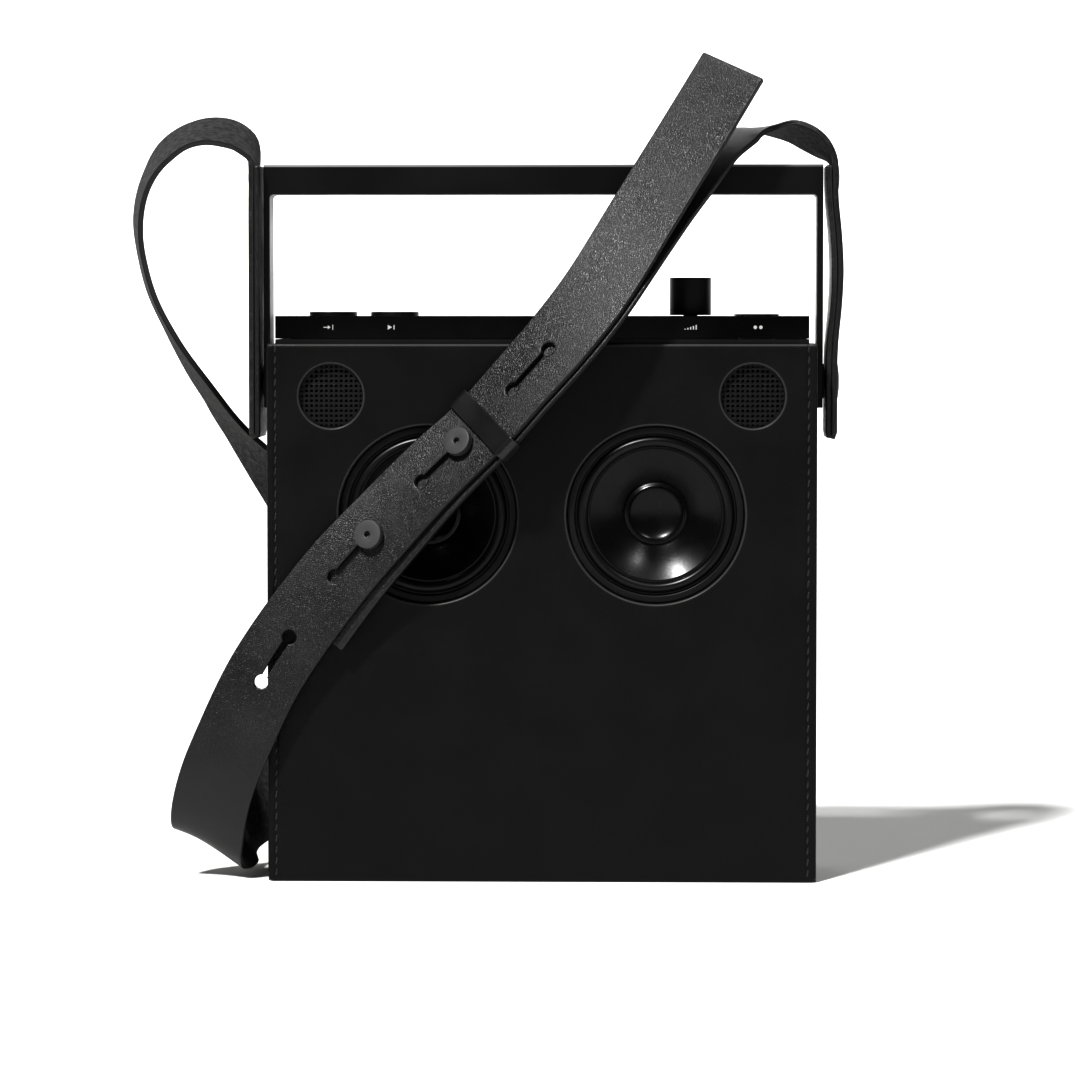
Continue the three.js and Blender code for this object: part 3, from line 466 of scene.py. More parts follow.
def give(material, slot, *nodes):
    """Solid nodes that stay as they are, in their own finish."""
    for node in nodes:
        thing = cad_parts[node]
        thing.data.materials.clear()
        thing.data.materials.append(material)


give(moulded_plastic, "matt_plastic", "rear_shell", "front_baffle")
foot_rubber = worn_material(
    "black_rubber_pad", (0.02, 0.02, 0.02), (0.035, 0.035, 0.035), 0.7, 0.85, 1500.0, 0.00006
)
give(foot_rubber, "rubber", "foot_pad_left", "foot_pad_right")

# Printed marks on the cap's front edge, in pale ink: an arrow into a bar, a play arrow, rising bars
# and two reels.
MARK_Y = -0.02925
INK = 0.00003
mark_ink, mark_tree, mark_shader = new_material("pale_printed_ink", (0.42, 0.42, 0.41), 0.5)
speckle = noise_in(mark_tree, own_place(mark_tree), 3000.0)
speckled = two_tones(mark_tree, speckle, (0.3, 0.3, 0.29), (0.5, 0.5, 0.49))
mark_tree.links.new(speckled, mark_shader.inputs["Base Color"])


def print_marks(name, shapes):
    """Flat printed shapes, each a list of points in X and Z."""
    mesh = bpy.data.meshes.new(name)
    work = bmesh.new()
    for points in shapes:
        corners = [work.verts.new((x, MARK_Y, z)) for x, z in points]
        face = work.faces.new(corners)
        grown = bmesh.ops.extrude_face_region(work, geom=[face])
        for part in grown["geom"]:
            if isinstance(part, bmesh.types.BMVert):
                part.co.y -= INK
    bmesh.ops.recalc_face_normals(work, faces=work.faces)
    work.to_mesh(mesh)
    work.free()
    settle(linked(name, mesh), name, mark_ink, "cap_gloss")


def bar_at(left, right, half, low=None):
    """An upright bar, centred on the marks' height unless its lower end is given."""
    bottom, top = MARK_Z - (half if low is None else low), MARK_Z + half
    return [(left, bottom), (right, bottom), (right, top), (left, top)]


def arrow_at(left, right, half):
    """A triangle that points right."""
    return [(left, MARK_Z - half), (right, MARK_Z), (left, MARK_Z + half)]


MARK_Z = 0.2407
INPUT_X, PLAY_X, TAPE_X, VOLUME_X = -0.0924, -0.0653, 0.0934, 0.0644
print_marks("input_mark", [
    bar_at(INPUT_X - 0.0022, INPUT_X - 0.0003, 0.0002),
    arrow_at(INPUT_X - 0.0003, INPUT_X + 0.001, 0.0009),
    bar_at(INPUT_X + 0.0017, INPUT_X + 0.0021, 0.0011),
])
print_marks("play_mark", [
    arrow_at(PLAY_X - 0.0014, PLAY_X + 0.0006, 0.0011),
    bar_at(PLAY_X + 0.0011, PLAY_X + 0.0016, 0.001),
])
BAR_PITCH, BAR_WIDTH = 0.0012, 0.0006
volume_bars = []
for i in range(5):
    left = VOLUME_X - 0.0028 + BAR_PITCH * i
    volume_bars.append(bar_at(left, left + BAR_WIDTH, -0.0006 + 0.0004 * i, 0.001))
print_marks("volume_mark", volume_bars)
REEL_APART, REEL = 0.0012, 0.0008
print_marks("tape_mark", [circle(TAPE_X + x, MARK_Z, REEL, 20) for x in (-REEL_APART, REEL_APART)])


# ---------- woofers ----------
# The real driver has a pressed steel basket, a rubber half-roll surround, a varnished black paper
# cone and a dished dust cap, with a ferrite magnet behind.
ON_AXIS = 1e-7
NEARLY_STRAIGHT = 0.35


def turned(name, profile, centre, axis="y", steps=96):
    """A body turned from (radius, distance) pairs about an axis through centre.
    The profile is a closed ring, or a line that starts and ends on the axis."""
    work = bmesh.new()
    rings = []
    for radius, along in profile:
        ring = []
        for i in range(steps if radius > ON_AXIS else 1):
            angle = 2 * math.pi * i / steps
            across, up = radius * math.cos(angle), radius * math.sin(angle)
            spot = {"y": (across, along, up), "z": (across, up, along), "x": (along, across, up)}
            ring.append(work.verts.new(Vector(spot[axis]) + Vector(centre)))
        rings.append(ring)
    closed = profile[0][0] > ON_AXIS
    for one, two in zip(rings, rings[1:] + (rings[:1] if closed else [])):
        for i in range(steps if len(one) > 1 or len(two) > 1 else 0):
            corners = [one[i % len(one)], one[(i + 1) % len(one)]]
            corners += [two[(i + 1) % len(two)], two[i % len(two)]]
            work.faces.new(list(dict.fromkeys(corners)))
    bmesh.ops.remove_doubles(work, verts=work.verts, dist=ON_AXIS)
    bmesh.ops.recalc_face_normals(work, faces=work.faces)
    mesh = bpy.data.meshes.new(name)
    work.to_mesh(mesh)
    work.free()
    mesh.shade_smooth()
    mesh.set_sharp_from_angle(angle=math.radians(38))
    return linked(name, mesh)


def turn_piece(name, profile, centre, material, slot, node, body="radio", axis="y", steps=96):
    """A turned piece, finished and handed to its body."""
    settle(turned(name, profile, centre, axis, steps), name, material, slot, node, body=body)


def soften(profile, radius, steps=4):
    """The same profile with each sharp corner replaced by a small curve."""
    softened = []
    for i, corner in enumerate(profile):
        here = Vector(corner)
        to_before = Vector(profile[i - 1]) - here
        to_after = Vector(profile[(i + 1) % len(profile)]) - here
        on_axis = corner[0] < ON_AXIS or not to_before.length or not to_after.length
        if on_axis or math.pi - to_before.angle(to_after) < NEARLY_STRAIGHT:
            softened.append(corner)
            continue
        reach = min(radius, to_before.length * 0.45, to_after.length * 0.45)
        start, end = here + to_before.normalized() * reach, here + to_after.normalized() * reach
        for k in range(steps + 1):
            t = k / steps
            point = start * (1 - t) ** 2 + here * 2 * t * (1 - t) + end * t**2
            softened.append((point.x, point.y))
    return softened


basket_steel = worn_material(
    "black_pressed_steel", (0.003, 0.003, 0.0032), (0.006, 0.006, 0.0062),
    0.42, 0.55, 900.0, 0.00002
)
surround_rubber = worn_material(
    "soft_black_rubber", (0.003, 0.003, 0.0031), (0.0055, 0.0055, 0.0056), 0.3, 0.4, 1600.0, 0.00003
)


def make_cone_paper():
    """Pressed paper under a thin varnish."""
    material, tree, shader = new_material("varnished_paper_cone", (0.004,) * 3, 0.22, 0.0, 0.3)
    where = own_place(tree)
    slow = noise_in(tree, where, 60.0, 3.0)
    tone = two_tones(tree, slow, (0.0028, 0.0028, 0.003), (0.005, 0.005, 0.0052))
    paint_with(tree, shader, tone, range_in(tree, slow, 0.3, 0.7, 0.22, 0.32))
    bump_into(tree, shader, noise_in(tree, where, 700.0, 5.0), 0.00005, 0.45)
    return material


cone_paper = make_cone_paper()
ferrite = worn_material(
    "grey_ferrite", (0.05, 0.05, 0.052), (0.08, 0.08, 0.083), 0.5, 0.65, 800.0, 0.00006
)
CABINET_FRONT = -0.0292
FLANGE = 0.0383
SURROUND = 0.0348
ROLL = 0.0024
ROLL_MIDDLE = SURROUND - ROLL - 0.0006
CONE_EDGE = ROLL_MIDDLE - ROLL - 0.0009
CONE_FRONT = 0.0028
COIL = 0.0126
DUST_CAP = 0.012
THROAT = DUST_CAP + 0.0015
THROAT_DEPTH = 0.013
PAPER = 0.0009
RUBBER = 0.0005
ROUND_STEPS = 128
for side, mirror in (("left", -1), ("right", 1)):
    centre = (mirror * WOOFER_X, CABINET_FRONT, WOOFER_Z)
    rim = [
        (FLANGE, 0.0003), (FLANGE, 0.0029), (0.036, 0.0029), (0.034, 0.0109), (0.022, 0.0249),
        (0.015, 0.0249), (0.015, 0.0234), (0.021, 0.0234), (0.0322, 0.0103), (0.0351, 0.0029),
        (0.0351, 0.0003),
    ]
    turn_piece("woofer_rim_" + side, soften(rim, 0.0006), centre, basket_steel, "black_metal",
               "woofer_basket_" + side, steps=ROUND_STEPS)
    front_arch, back_arch = [], []
    for i in range(25):
        angle = math.pi * i / 24
        outwards, forwards = ROLL * math.cos(angle), ROLL * math.sin(angle)
        front_arch.append((ROLL_MIDDLE + outwards, CONE_FRONT - forwards))
        inner = (ROLL_MIDDLE + outwards * 0.8, CONE_FRONT + RUBBER - forwards * 0.8)
        back_arch.insert(0, inner)
    foot, lip_back = CONE_EDGE + 0.0002, CONE_FRONT + 0.0007
    roll = [(SURROUND, CONE_FRONT), *front_arch, (foot, CONE_FRONT), (foot, lip_back), *back_arch,
            (SURROUND, lip_back)]
    turn_piece("woofer_roll_" + side, roll, centre, surround_rubber, "rubber",
               "woofer_surround_" + side, steps=ROUND_STEPS)
    flare = []
    for i in range(13):
        t = i / 12
        radius = THROAT + (CONE_EDGE - THROAT) * t
        bulge = 0.07 * math.sin(math.pi * t)
        flare.append((radius, THROAT_DEPTH + (CONE_FRONT - THROAT_DEPTH) * (t + bulge)))
    cone_back = [(radius, depth + PAPER) for radius, depth in reversed(flare[1:])]
    dish = []
    for i in range(11):
        angle = (math.pi / 2) * i / 10
        dish.append((DUST_CAP * math.sin(angle), 0.0148 - 0.0036 * (1 - math.cos(angle))))
    paper = [
        *dish, (DUST_CAP + 0.0004, 0.0114), (DUST_CAP + 0.0006, 0.0126), *flare, *cone_back,
        (COIL + 0.0003, 0.0151), (COIL + 0.0003, 0.0289), (COIL - 0.0005, 0.0289),
        (COIL - 0.0005, 0.0141), (0.009, 0.0151), (0.006, 0.0156), (0.0, 0.0158),
    ]
    turn_piece("woofer_cone_paper_" + side, paper, centre, cone_paper, "cone",
               "woofer_cone_" + side, side + "_cone", steps=ROUND_STEPS)
    give(ferrite, "magnet", "woofer_magnet_" + side)

# ---------- tweeters ----------
# The real tweeter sits behind a thin steel disc punched with rows of small round holes.
GRILLE = 0.015
GRILLE_BORDER = 0.0014
HOLE_PITCH = 0.00215
HOLE_RADIUS = 0.00066
grille_paint = worn_material(
    "black_painted_grille", (0.005, 0.005, 0.0052), (0.009, 0.009, 0.0092),
    0.34, 0.46, 1200.0, 0.00001
)
for side, mirror in (("left", -1), ("right", 1)):
    punched = []
    for row in range(-7, 8):
        for column in range(-7, 8):
            x, z = column * HOLE_PITCH, row * HOLE_PITCH
            if math.hypot(x, z) < GRILLE - GRILLE_BORDER:
                punched.append(circle(mirror * TWEETER_X + x, TWEETER_Z + z, HOLE_RADIUS, 14))
    disc = circle(mirror * TWEETER_X, TWEETER_Z, GRILLE, 64)
    grille = cut_sheet("tweeter_mesh_" + side, disc, punched, 0.0007, 0.00012)
    stand_up(grille, CABINET_FRONT + 0.00045)
    weight_normals(grille)
    settle(grille, "tweeter_mesh_" + side, grille_paint, "black_metal", "tweeter_grille_" + side)
    give(moulded_plastic, "matt_plastic", "tweeter_" + side)

# ---------- electronics ----------
# Green boards, a black finned heat sink, a wrapped battery pack, a plated encoder and motor. All of
# them are inside the cabinet.
board_green = worn_material(
    "green_circuit_board", (0.01, 0.055, 0.02), (0.015, 0.075, 0.03), 0.3, 0.45, 500.0, 0.00003
)
plated_steel = worn_material(
    "plated_steel", (0.5, 0.5, 0.5), (0.62, 0.62, 0.62), 0.2, 0.34, 600.0, 0.00001, 1.0
)
battery_wrap = worn_material(
    "blue_battery_wrap", (0.015, 0.03, 0.09), (0.02, 0.04, 0.11), 0.3, 0.42, 300.0, 0.00003
)
give(board_green, "circuit", "control_board", "amplifier_board")
give(basket_steel, "black_metal", "heat_sink")
give(battery_wrap, "battery", "battery_pack")
give(plated_steel, "steel", "volume_encoder", "tape_motor", "antenna_pin")

# The port plate and the power button are moulded in matt black and show through the back's hatch.
settle(eased("port_plate", 0.00035), "port_cover", moulded_plastic, "matt_plastic", "port_plate")
power_profile = [(0.0, 0.026), (0.0045, 0.026), (0.0045, 0.03), (0.0032, 0.03), (0.003, 0.0298),
                 (0.0, 0.0298)]
POWER_AT = (0.035, 0.0, 0.039)
turn_piece("power_key", soften(power_profile, 0.0003), POWER_AT, moulded_plastic,
           "matt_plastic", "power_button", "power_key")

# ---------- controls ----------
# The keys are matt plastic discs with a dished top. The volume knob is a plain turned cylinder,
# and the tape disc a glossy disc that lies almost flush with the cap.
control_plastic = worn_material(
    "fine_matt_plastic", (0.0035, 0.0035, 0.0037), (0.0055, 0.0055, 0.0058),
    0.36, 0.46, 3000.0, 0.00002
)
KEY, KEY_TOP, KEY_DISH, DISH = 0.0105, 0.2474, 0.00945, 0.0011
for name, x in (("input", INPUT_X), ("play", PLAY_X)):
    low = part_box(name + "_button")[0].z
    dish = [(KEY_DISH * (1 - i / 8), KEY_TOP - DISH * math.sin(math.pi / 2 * i / 8))
            for i in range(1, 8)]
    key = [(0.0, low), (KEY, low), (KEY, KEY_TOP), *dish, (0.0, KEY_TOP - DISH)]
    turn_piece(name + "_disc", soften(key, 0.0005), (x, 0.0, 0.0), control_plastic,
               "matt_plastic", name + "_button", name + "_key", "z")
KNOB, KNOB_STEM, KNOB_FOOT = 0.00905, 0.003, 0.2459
low, high = (corner.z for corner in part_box("volume_knob"))
knob = [(0.0, low), (KNOB_STEM, low), (KNOB_STEM, KNOB_FOOT), (KNOB, KNOB_FOOT), (KNOB, high),
        (0.0, high)]
turn_piece("volume_cylinder", soften(knob, 0.00035), (VOLUME_X, 0.0, 0.0), control_plastic,
           "matt_plastic", "volume_knob", "volume_control", "z", ROUND_STEPS)
TAPE, TAPE_STEM, TAPE_FOOT, STEP = 0.01, 0.002, 0.2426, 0.0002
low, high = (corner.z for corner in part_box("tape_disc"))
tape = [(0.0, low), (TAPE_STEM, low), (TAPE_STEM, TAPE_FOOT), (TAPE, TAPE_FOOT), (TAPE, high),
        (0.0072, high), (0.007, high - STEP), (0.0, high - STEP)]
turn_piece("tape_turntable", soften(tape, 0.0003), (TAPE_X, 0.0, 0.0), gloss_plastic, "cap_gloss",
           "tape_disc", "tape_spindle", "z")

# ---------- antenna ----------
# Three drawn brass tubes, chromed, that slide into each other and lie in the groove behind the cap.
chrome = worn_material(
    "bright_chrome_tube", (0.6, 0.6, 0.61), (0.7, 0.7, 0.71), 0.1, 0.2, 500.0, 0.000003, 1.0
)
antenna_centre = (0.0, 0.026, 0.2422)
settle(eased("antenna_outer_tube", 0.0002), "antenna_outer", chrome, "steel",
       "antenna_outer_tube", body="antenna_arm")
tube_profile = [(0.0, -0.0935), (0.00195, -0.0935), (0.00195, 0.1035), (0.0016, 0.1035),
                (0.0016, -0.0905), (0.0, -0.0905)]
turn_piece("antenna_middle_sleeve", tube_profile, antenna_centre, chrome, "steel",
           "antenna_middle_tube", "antenna_middle", "x", 48)
rod_profile = [(0.0, -0.0875), (0.0013, -0.0875), (0.0013, 0.1045), (0.0026, 0.1045),
               (0.0026, 0.1095), (0.0, 0.1095)]
turn_piece("antenna_tip_knob", soften(rod_profile, 0.0005), antenna_centre, chrome, "steel",
           "antenna_tip_rod", "antenna_tip", "x", 48)

# ---------- carrying handle ----------
# One bar and two flat arms, machined from aluminium and painted satin black. A pale line is painted
# along the bar's upper front edge as a highlight, brightest at the left end.
def make_handle_paint():
    """Satin paint, with a painted highlight along the bar's upper front edge."""
    material, tree, shader = new_material("satin_black_paint", (0.014,) * 3, 0.36, 0.0, 0.3)
    where = own_place(tree)
    wear = node_in(
        tree, "ShaderNodeGroup", {"Vector": where, "Size": 2200.0}, node_tree=wear_group
    )
    place = node_in(tree, "ShaderNodeSeparateXYZ", {0: where})
    # Painted highlight: a pale line along the bar's upper front edge, strongest towards the left
    # end.
    towards_edge = math_in(tree, "SUBTRACT", place.outputs["Z"], place.outputs["Y"])
    brighter_at_left_end = range_in(tree, place.outputs["X"], 0.1, -0.12, 0.45, 1.0)
    painted_edge_highlight = math_in(tree, "MULTIPLY", range_in(tree, towards_edge, 0.3202, 0.3209), brighter_at_left_end)
    marks = wear.outputs["Marks"]
    tone = two_tones(tree, marks, (0.003, 0.003, 0.0032), (0.005, 0.005, 0.0053))
    edge = two_tones(tree, painted_edge_highlight, tone, (0.3, 0.3, 0.3))
    paint_with(tree, shader, edge, range_in(tree, marks, 0.3, 0.7, 0.3, 0.42))
    bump_into(tree, shader, wear.outputs["Height"], 0.00003, 0.4)
    return material


handle_paint = make_handle_paint()
settle(eased("carry_handle", 0.0006, 3), "carrying_bar", handle_paint, "handle_metal",
       "carry_handle", body="handle")
PIVOT = (0.0, 0.0, 0.217)
SCREW, SCREW_HEAD = 0.003, 0.0078
for side, mirror in (("left", -1), ("right", 1)):
    give(plated_steel, "steel", "pivot_bush_" + side)
    washer = eased("pivot_washer_" + side, 0.0001)
    settle(washer, "washer_" + side, basket_steel, "black_metal", "pivot_washer_" + side)
    inner, outer = sorted(abs(corner.x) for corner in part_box("pivot_screw_" + side))
    head = outer - 0.0015
    screw = [(0.0, inner), (SCREW, inner), (SCREW, head + 0.0001), (SCREW_HEAD, head + 0.0001),
             (SCREW_HEAD, head + 0.0009), (0.0032, outer), (SCREW, outer - 0.0007),
             (0.0, outer - 0.0007)]
    screw = [(radius, mirror * along) for radius, along in screw]
    turn_piece("screw_" + side, soften(screw, 0.0003), PIVOT, basket_steel, "black_metal",
               "pivot_screw_" + side, axis="x", steps=64)

# ---------- shoulder strap ----------
# The real strap is two lengths of 2.4 mm bridle leather: black and smooth on the grain side, rough
# and paler on the flesh side, with burnished edges. Each is folded double at its pivot and
# riveted.
STRAP_WIDTH = 0.0335
STRAP_LEATHER = 0.0024
SIDE_X = 125.7
SINGLE_X = 127.0
PLY = 1.3
INNER_PLY = SIDE_X - PLY
FOLD_LOW, FOLD_HIGH = 194, 311
FOLD_STEPS = 24
STRAP_EDGE = 0.0006
LEANING_EDGE = 18.95
BACK_OF_KEEPER = 6.0
BEND_STEP = 0.0021


def make_strap_leather():
    """Smooth grain on the outside, rough and paler flesh behind, and dark burnished edges."""
    material, tree, shader = new_material("black_bridle_leather", (0.014,) * 3, 0.42, 0.0, 0.6)
    flat_place = node_in(tree, "ShaderNodeUVMap", uv_map="laid_flat").outputs[0]
    grain_size = {"Vector": flat_place, "Cells per metre": 1500.0}
    hide = node_in(tree, "ShaderNodeGroup", grain_size, node_tree=hide_group)
    mottle = hide.outputs["Mottle"]
    where = own_place(tree)
    fuzz = noise_in(tree, where, 1500.0, 6.0)
    tufts = noise_in(tree, where, 420.0, 5.0)
    through = node_in(tree, "ShaderNodeAttribute", attribute_name="through").outputs["Fac"]
    across = node_in(tree, "ShaderNodeAttribute", attribute_name="across").outputs["Fac"]
    flesh = range_in(tree, through, 0.3, 0.9)
    edge = range_in(tree, math_in(tree, "ABSOLUTE", across), 0.955, 0.985)
    grain_tone = two_tones(tree, mottle, (0.004, 0.004, 0.0041), (0.012, 0.0118, 0.0116))
    tufted = range_in(tree, tufts, 0.3, 0.72)
    flesh_tone = two_tones(tree, tufted, (0.014, 0.014, 0.0142), (0.06, 0.0594, 0.0588))
    sides = two_tones(tree, flesh, grain_tone, flesh_tone)
    edge_tone = two_tones(tree, fuzz, (0.0025, 0.0025, 0.0025), (0.006, 0.006, 0.006))
    smoothness = range_in(tree, mottle, 0.3, 0.7, 0.3, 0.42)
    ends = {0: flesh, 2: smoothness, 3: 0.88}
    rough = node_in(tree, "ShaderNodeMix", ends, data_type="FLOAT").outputs[0]
    paint_with(tree, shader, two_tones(tree, edge, sides, edge_tone), rough)
    nap = math_in(tree, "MULTIPLY", math_in(tree, "ADD", fuzz, tufts), 4.0)
    ends = {0: flesh, 2: hide.outputs["Height"], 3: nap}
    height = node_in(tree, "ShaderNodeMix", ends, data_type="FLOAT")
    bump_into(tree, shader, height.outputs[0], 0.00007, 0.8)
    return material


strap_leather = make_strap_leather()


def on_front(x, clear, z, across):
    """A place on the front run, held off the sleeve by its leaning edge and the keeper."""
    lean = Vector(across).normalized()
    held_out = -lean.y * LEANING_EDGE + math.sqrt(1 - lean.y**2) * BACK_OF_KEEPER
    return (x, SLEEVE_FRONT / MM - held_out - clear, z), across


def upright(x, z):
    """A place beside the handle, where the front edge faces forwards."""
    return (x, 0, z), (0, -1, 0)


# Places along the middle of the long strap, in millimetres, and the direction of its front edge.
FRONT_RUN = [
    on_front(-133.6, -0.7, 61.3, (0.928, -0.035, -0.371)),
    on_front(-118.5, -1.6, 92.1, (0.826, -0.105, -0.554)),
    on_front(-90.1, -1.8, 131.8, (0.745, -0.225, -0.628)),
    on_front(-65.5, -1.9, 159, (0.653, -0.407, -0.639)),
    on_front(-46.2, -0.6, 179.1, (0.619, -0.5, -0.606)),
    on_front(-24.8, 0.9, 199.4, (0.614, -0.574, -0.542)),
    on_front(-8.8, 1.5, 217.4, (0.621, -0.574, -0.534)),
    on_front(9, 1.2, 237.5, (0.658, -0.545, -0.52)),
    on_front(24.1, -1.4, 257.2, (0.7, -0.515, -0.494)),
    on_front(44.2, -9.4, 289.8, (0.724, -0.515, -0.46)),
]
LEFT_LOOP = [
    *[upright(-SINGLE_X, z) for z in (192.5, 225, 257, 288, 311.5)],
    ((-SINGLE_X, 0, 313.5), (-0.02, -1, 0)),
    ((-129, 0, 318), (-0.14, -0.98, -0.08)),
    ((-132.4, 0, 322.4), (-0.24, -0.95, -0.16)),
    ((-139, 0, 325.6), (-0.25, -0.92, -0.28)),
    ((-148, 0, 326.4), (-0.12, -0.93, -0.35)),
    ((-158, 0, 323.5), (0.04, -0.94, -0.34)),
    ((-166.5, 0, 317), (0.1, -0.93, -0.34)),
    ((-173, 0, 307.5), (0.11, -0.95, -0.29)),
    ((-177, 1, 297), (0.15, -0.96, -0.24)),
    ((-178.6, 3, 284), (0.18, -0.96, -0.22)),
    ((-177, 6, 270), (0.19, -0.97, -0.18)),
    ((-173, 11, 254), (0.2, -0.97, -0.12)),
    ((-165, 18, 236.5), (0.23, -0.97, -0.1)),
    ((-154.5, 27, 218), (0.26, -0.97, 0.02)),
    ((-145, 36, 203), (0.3, -0.95, 0.03)),
    ((-136.5, 45, 190.5), (0.4, -0.91, 0.08)),
]
BEHIND_AND_UNDER = [
    ((-124, 51.61, 174), (0.6, -0.78, 0.2)),
    ((-109, 51.06, 156), (0.8, -0.5, 0.3)),
    ((-97, 46.57, 134), (0.9, -0.25, 0.3)),
    ((-90, 44.52, 108), (0.98, -0.12, 0.12)),
    ((-91, 43.73, 80), (0.95, -0.12, -0.25)),
    ((-100, 44.27, 55), (0.75, -0.2, -0.62)),
    ((-114.5, 44.31, 37), (0.45, -0.25, -0.85)),
    ((-127.6, 31.5, 27.5), (0.22, -0.12, -0.97)),
    ((-132.5, 14, 23), (0.14, -0.04, -0.99)),
    ((-134.5, 4, 19.5), (0.25, -0.2, -0.95)),
    ((-139, -7, 15.5), (0.5, -0.4, -0.77)),
    ((-143.5, -17, 14), (0.76, -0.4, -0.52)),
    ((-145.5, -26, 17.5), (0.89, -0.12, -0.44)),
    ((-145, -32.5, 27), (0.94, -0.04, -0.34)),
    ((-141, -37, 43), (0.95, -0.02, -0.31)),
]
FREE_END = [
    on_front(63.2, -15.6, 320.8, (0.721, -0.53, -0.447)),
    on_front(82.7, -20.9, 353.2, (0.727, -0.545, -0.418)),
]


def curve_point(a, b, c, d, t):
    """A centripetal curve through b and c, guided by a and d."""
    first = max((b[0] - a[0]).length, 1e-6) ** 0.5
    second = max((c[0] - b[0]).length, 1e-6) ** 0.5
    third = max((d[0] - c[0]).length, 1e-6) ** 0.5
    result = []
    for k in range(2):
        start = (b[k] - a[k]) / first - (c[k] - a[k]) / (first + second) + (c[k] - b[k]) / second
        end = (c[k] - b[k]) / second - (d[k] - b[k]) / (second + third) + (d[k] - c[k]) / third
        start, end = start * second, end * second
        t2, t3 = t * t, t * t * t
        result.append(
            b[k] * (2 * t3 - 3 * t2 + 1) + start * (t3 - 2 * t2 + t)
            + c[k] * (-2 * t3 + 3 * t2) + end * (t3 - t2)
        )
    return result


def drawn_path(stations, fineness=24):
    """Close steps along the stations, each (place, front edge's direction, count of stations)."""
    marks = [(Vector(at), Vector(across).normalized()) for at, across in stations]
    before = (marks[0][0] * 2 - marks[1][0], marks[0][1])
    after = (marks[-1][0] * 2 - marks[-2][0], marks[-1][1])
    marks = [before, *marks, after]
    steps = []
    for span in range(1, len(marks) - 2):
        for i in range(fineness):
            t = i / fineness
            at, across = curve_point(*marks[span - 1:span + 3], t)
            steps.append((at, across, span - 1 + t))
    steps.append((marks[-2][0], marks[-2][1], len(marks) - 3.0))
    return steps


def framed(steps):
    """Each step with its distance, direction, front edge and the direction through the leather."""
    frames = []
    distance = 0.0
    for i, (at, across, place) in enumerate(steps):
        ahead = steps[min(i + 1, len(steps) - 1)][0] - steps[max(i - 1, 0)][0]
        along = ahead.normalized()
        if i:
            distance += (at - steps[i - 1][0]).length
        across = (across - along * across.dot(along)).normalized()
        frames.append((distance, at, along, across, along.cross(across), place))
    return frames


def turn_below(first_x, second_x):
    """The half turn at the bottom of a folded end, from one ply into the other."""
    middle, radius = (first_x + second_x) / 2, abs(second_x - first_x) / 2
    steps = []
    for i in range(13):
        angle = math.pi * i / 12
        x = middle + (first_x - middle) * math.cos(angle)
        at, across = upright(x, FOLD_LOW - radius * math.sin(angle))
        steps.append((Vector(at), Vector(across), -1.0))
    return steps


def lay_strap(name, frames, holes):
    """Cuts the strap flat, with its slots, and bends it along its frames."""
    length = frames[-1][0] * MM
    half = STRAP_WIDTH / 2
    outline = rounded_oblong(0.0, length, -half, half, 0.0009, 3)
    flat = cut_sheet(name, outline, holes, STRAP_LEATHER, STRAP_EDGE)
    mesh = flat.data
    count = int(length / BEND_STEP)
    cuts = [((length * i / count, 0, 0), (1, 0, 0)) for i in range(1, count)]
    cuts += [((0, share * half, 0), (0, 1, 0)) for share in (-0.6, -0.2, 0.2, 0.6)]

    def slice_up(work):
        for at, facing in cuts:
            whole = work.verts[:] + work.edges[:] + work.faces[:]
            bmesh.ops.bisect_plane(work, geom=whole, plane_co=at, plane_no=facing, dist=1e-6)

    edited(mesh, slice_up)
    laid = mesh.uv_layers.new(name="laid_flat")
    for corner in mesh.loops:
        laid.data[corner.index].uv = mesh.vertices[corner.vertex_index].co.xy
    through = mesh.attributes.new("through", "FLOAT", "POINT")
    across_mark = mesh.attributes.new("across", "FLOAT", "POINT")
    step_at = 0
    for corner in sorted(mesh.vertices, key=lambda each: each.co.x):
        u, v, w = corner.co / MM
        through.data[corner.index].value = w / (STRAP_LEATHER / 2 / MM)
        across_mark.data[corner.index].value = v / (half / MM)
        while step_at < len(frames) - 2 and frames[step_at + 1][0] < u:
            step_at += 1
        one, two = frames[step_at], frames[step_at + 1]
        t = (u - one[0]) / max(two[0] - one[0], 1e-9)
        at, across, normal = (one[k].lerp(two[k], t) for k in (1, 3, 4))
        corner.co = (at + across.normalized() * v + normal.normalized() * w) * MM
    mesh.update()
    cleaned(flat, 0.000002)
    mesh.shade_smooth()
    return flat


SLOT_HOLE = 0.0031
SLOT_NECK = 0.0013
SLOT_HALF = 0.0115


def slot_shape(distance):
    """The outline of a slot like a dumb-bell, its middle at a distance along the strap."""
    points = []
    reach = math.asin(SLOT_NECK / SLOT_HOLE)
    for centre, start in ((SLOT_HALF, -math.pi + reach), (-SLOT_HALF, reach)):
        sweep = 2 * math.pi - 2 * reach
        for i in range(33):
            angle = start + sweep * i / 32
            points.append((distance + centre + SLOT_HOLE * math.cos(angle),
                           SLOT_HOLE * math.sin(angle)))
    return points


long_body = drawn_path(LEFT_LOOP + BEHIND_AND_UNDER + FRONT_RUN + FREE_END)
long_steps = []
for i in range(FOLD_STEPS):
    at, across = upright(-INNER_PLY, FOLD_HIGH - i * (FOLD_HIGH - FOLD_LOW) / FOLD_STEPS)
    long_steps.append((Vector(at), Vector(across), -1.0))
long_steps += turn_below(-INNER_PLY, -SINGLE_X)
long_steps += [step for step in long_body if step[0].z > FOLD_LOW + 2 or step[2] > 1]
run_place = len(LEFT_LOOP) + len(BEHIND_AND_UNDER)
long_frames = framed(long_steps)
run_start = next(each[0] for each in long_frames if each[5] >= run_place)
FIRST_SLOT = 152.7
SLOT_PITCH = 56
slot_distances = [run_start + FIRST_SLOT + n * SLOT_PITCH for n in (-2, -1, 0, 1)]
slots = [slot_shape(distance * MM) for distance in slot_distances]
long_strap = lay_strap("long_shoulder_strap", long_frames, slots)
